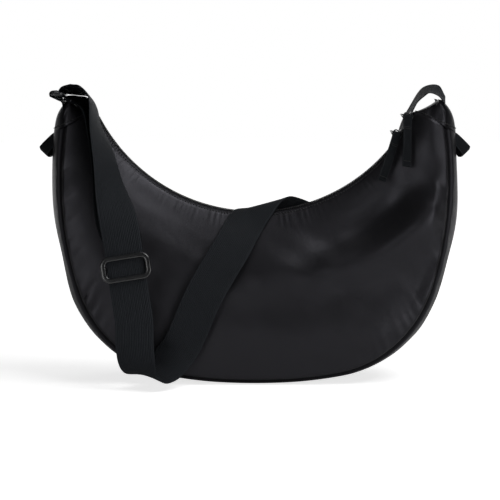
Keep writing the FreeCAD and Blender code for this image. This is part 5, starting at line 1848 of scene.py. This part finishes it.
class BAG_OT_stage(bpy.types.Operator):
    """Camera, pale floor and soft lamps"""

    bl_idname = "half_moon.stage"
    bl_label = "Stage"

    def execute(self, context):
        stage = settings().stage
        scene = context.scene
        scene.view_settings.view_transform = "Standard"
        back = Vector((0, -cos(stage.camera_rise), sin(stage.camera_rise)))
        camera = bpy.data.objects.new("camera", bpy.data.cameras.new("camera"))
        camera.data.lens = stage.camera_lens
        camera.data.sensor_width = SENSOR_WIDTH
        camera.location = CAMERA_TARGET + back * stage.camera_distance
        camera.rotation_euler = back.to_track_quat("Z", "Y").to_euler()
        scene.collection.objects.link(camera)
        scene.camera = camera
        for name, place, size in LAMPS:
            self.lamp(f"{name}_lamp", place, size, getattr(stage, f"{name}_power"))
        self.floor(stage)
        self.surroundings(scene)
        return {"FINISHED"}

    def lamp(self, name, place, size, power):
        """A square lamp aimed at the middle of the bag."""
        light = bpy.data.lights.new(name, "AREA")
        light.size = size
        light.energy = power
        obj = bpy.data.objects.new(name, light)
        obj.location = place
        obj.rotation_euler = (Vector(place) - LAMP_TARGET).to_track_quat("Z", "Y").to_euler()
        bpy.context.scene.collection.objects.link(obj)

    def floor(self, stage):
        """A wide pale plane that adds light of its own where it is seen, so that it ends in white."""
        edge = (-FLOOR_HALF, FLOOR_HALF)
        grid = np.array([[(x, y, 0.0) for y in edge] for x in edge])
        mesh = mesh_of("floor", [Surface(grid, loop_round=False)])
        floor = bpy.data.objects.new("floor", mesh)
        bpy.context.scene.collection.objects.link(floor)
        pale = bpy.data.materials.new("pale_floor")
        pale.use_nodes = True
        tree = pale.node_tree
        shader = tree.nodes["Principled BSDF"]
        shader.inputs["Base Color"].default_value = (*stage.floor, 1)
        shader.inputs["Roughness"].default_value = 0.9
        shader.inputs["Specular IOR Level"].default_value = 0.1
        shader.inputs["Emission Color"].default_value = (1, 1, 1, 1)
        coords = tree.nodes.new("ShaderNodeTexCoord")
        away = tree.nodes.new("ShaderNodeVectorMath")
        away.operation = "LENGTH"
        tree.links.new(coords.outputs["Object"], away.inputs[0])
        glow = eased(tree, away.outputs["Value"], *FLOOR_FADE, *FLOOR_GLOW)
        lit = calculate(tree, "MULTIPLY", seen_as_white(tree, coords.outputs["Object"]), glow)
        tree.links.new(lit, shader.inputs["Emission Strength"])
        floor.data.materials.append(pale)

    def surroundings(self, scene):
        """Even low light all round, and white where it is seen."""
        world = bpy.data.worlds.new("studio")
        scene.world = world
        world.use_nodes = True
        tree = world.node_tree
        ground = tree.nodes["Background"]
        ground.inputs["Color"].default_value = (1, 1, 1, 1)
        coords = tree.nodes.new("ShaderNodeTexCoord")
        seen = seen_as_white(tree, coords.outputs["Generated"])
        tree.links.new(scaled(tree, seen, 1.0 - LOW_LIGHT, LOW_LIGHT), ground.inputs["Strength"])


def seen_as_white(tree, place):
    """1 for what is seen straight or through glass, or mirrored from behind the bag, and else 0."""
    path = tree.nodes.new("ShaderNodeLightPath").outputs
    behind = eased(tree, parts_of(tree, place)[1], *BACKDROP)
    mirrored = calculate(tree, "MULTIPLY", path["Is Glossy Ray"], behind)
    seen = calculate(tree, "MAXIMUM", path["Is Camera Ray"], path["Is Transmission Ray"])
    return calculate(tree, "MAXIMUM", seen, mirrored)


class BAG_PT_sidebar(bpy.types.Panel):
    """The bag's settings and its operators"""

    bl_idname = "BAG_PT_sidebar"
    bl_label = "Half Moon Bag"
    bl_space_type = "VIEW_3D"
    bl_region_type = "UI"
    bl_category = "Bag"

    def draw(self, context):
        bag = context.scene.half_moon_bag
        for label in ("shape", "zip", "strap", "finish", "stage"):
            group = getattr(bag, label)
            box = self.layout.box()
            box.label(text=label.title())
            for name in group.__annotations__:
                box.prop(group, name)
        for operator in PIECES:
            self.layout.operator(operator.bl_idname)


PIECES = (
    BAG_OT_panels,
    BAG_OT_gusset,
    BAG_OT_hoods,
    BAG_OT_linings,
    BAG_OT_zip,
    BAG_OT_sliders,
    BAG_OT_pull_rings,
    BAG_OT_pulls,
    BAG_OT_strap,
    BAG_OT_adjuster,
    BAG_OT_ring,
    BAG_OT_side_loops,
    BAG_OT_stage,
)
CLASSES = (BagShape, ZipShape, StrapShape, BagFinish, BagStage, HalfMoonBag, *PIECES, BAG_PT_sidebar)


def register():
    """Make the settings, operators and sidebar known."""
    for item in CLASSES:
        bpy.utils.register_class(item)
    bpy.types.Scene.half_moon_bag = PointerProperty(type=HalfMoonBag)


def unregister():
    """Take the settings, operators and sidebar away again."""
    del bpy.types.Scene.half_moon_bag
    for item in reversed(CLASSES):
        bpy.utils.unregister_class(item)


def main():
    """Build every piece and the stage."""
    register()
    ops = bpy.ops.half_moon
    ops.panels()
    ops.gusset()
    ops.hoods()
    ops.linings()
    ops.zip()
    ops.sliders()
    ops.pull_rings()
    ops.pulls()
    ops.strap()
    ops.adjuster()
    ops.ring()
    ops.side_loops()
    ops.stage()
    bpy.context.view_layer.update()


if __name__ == "__main__":
    main()
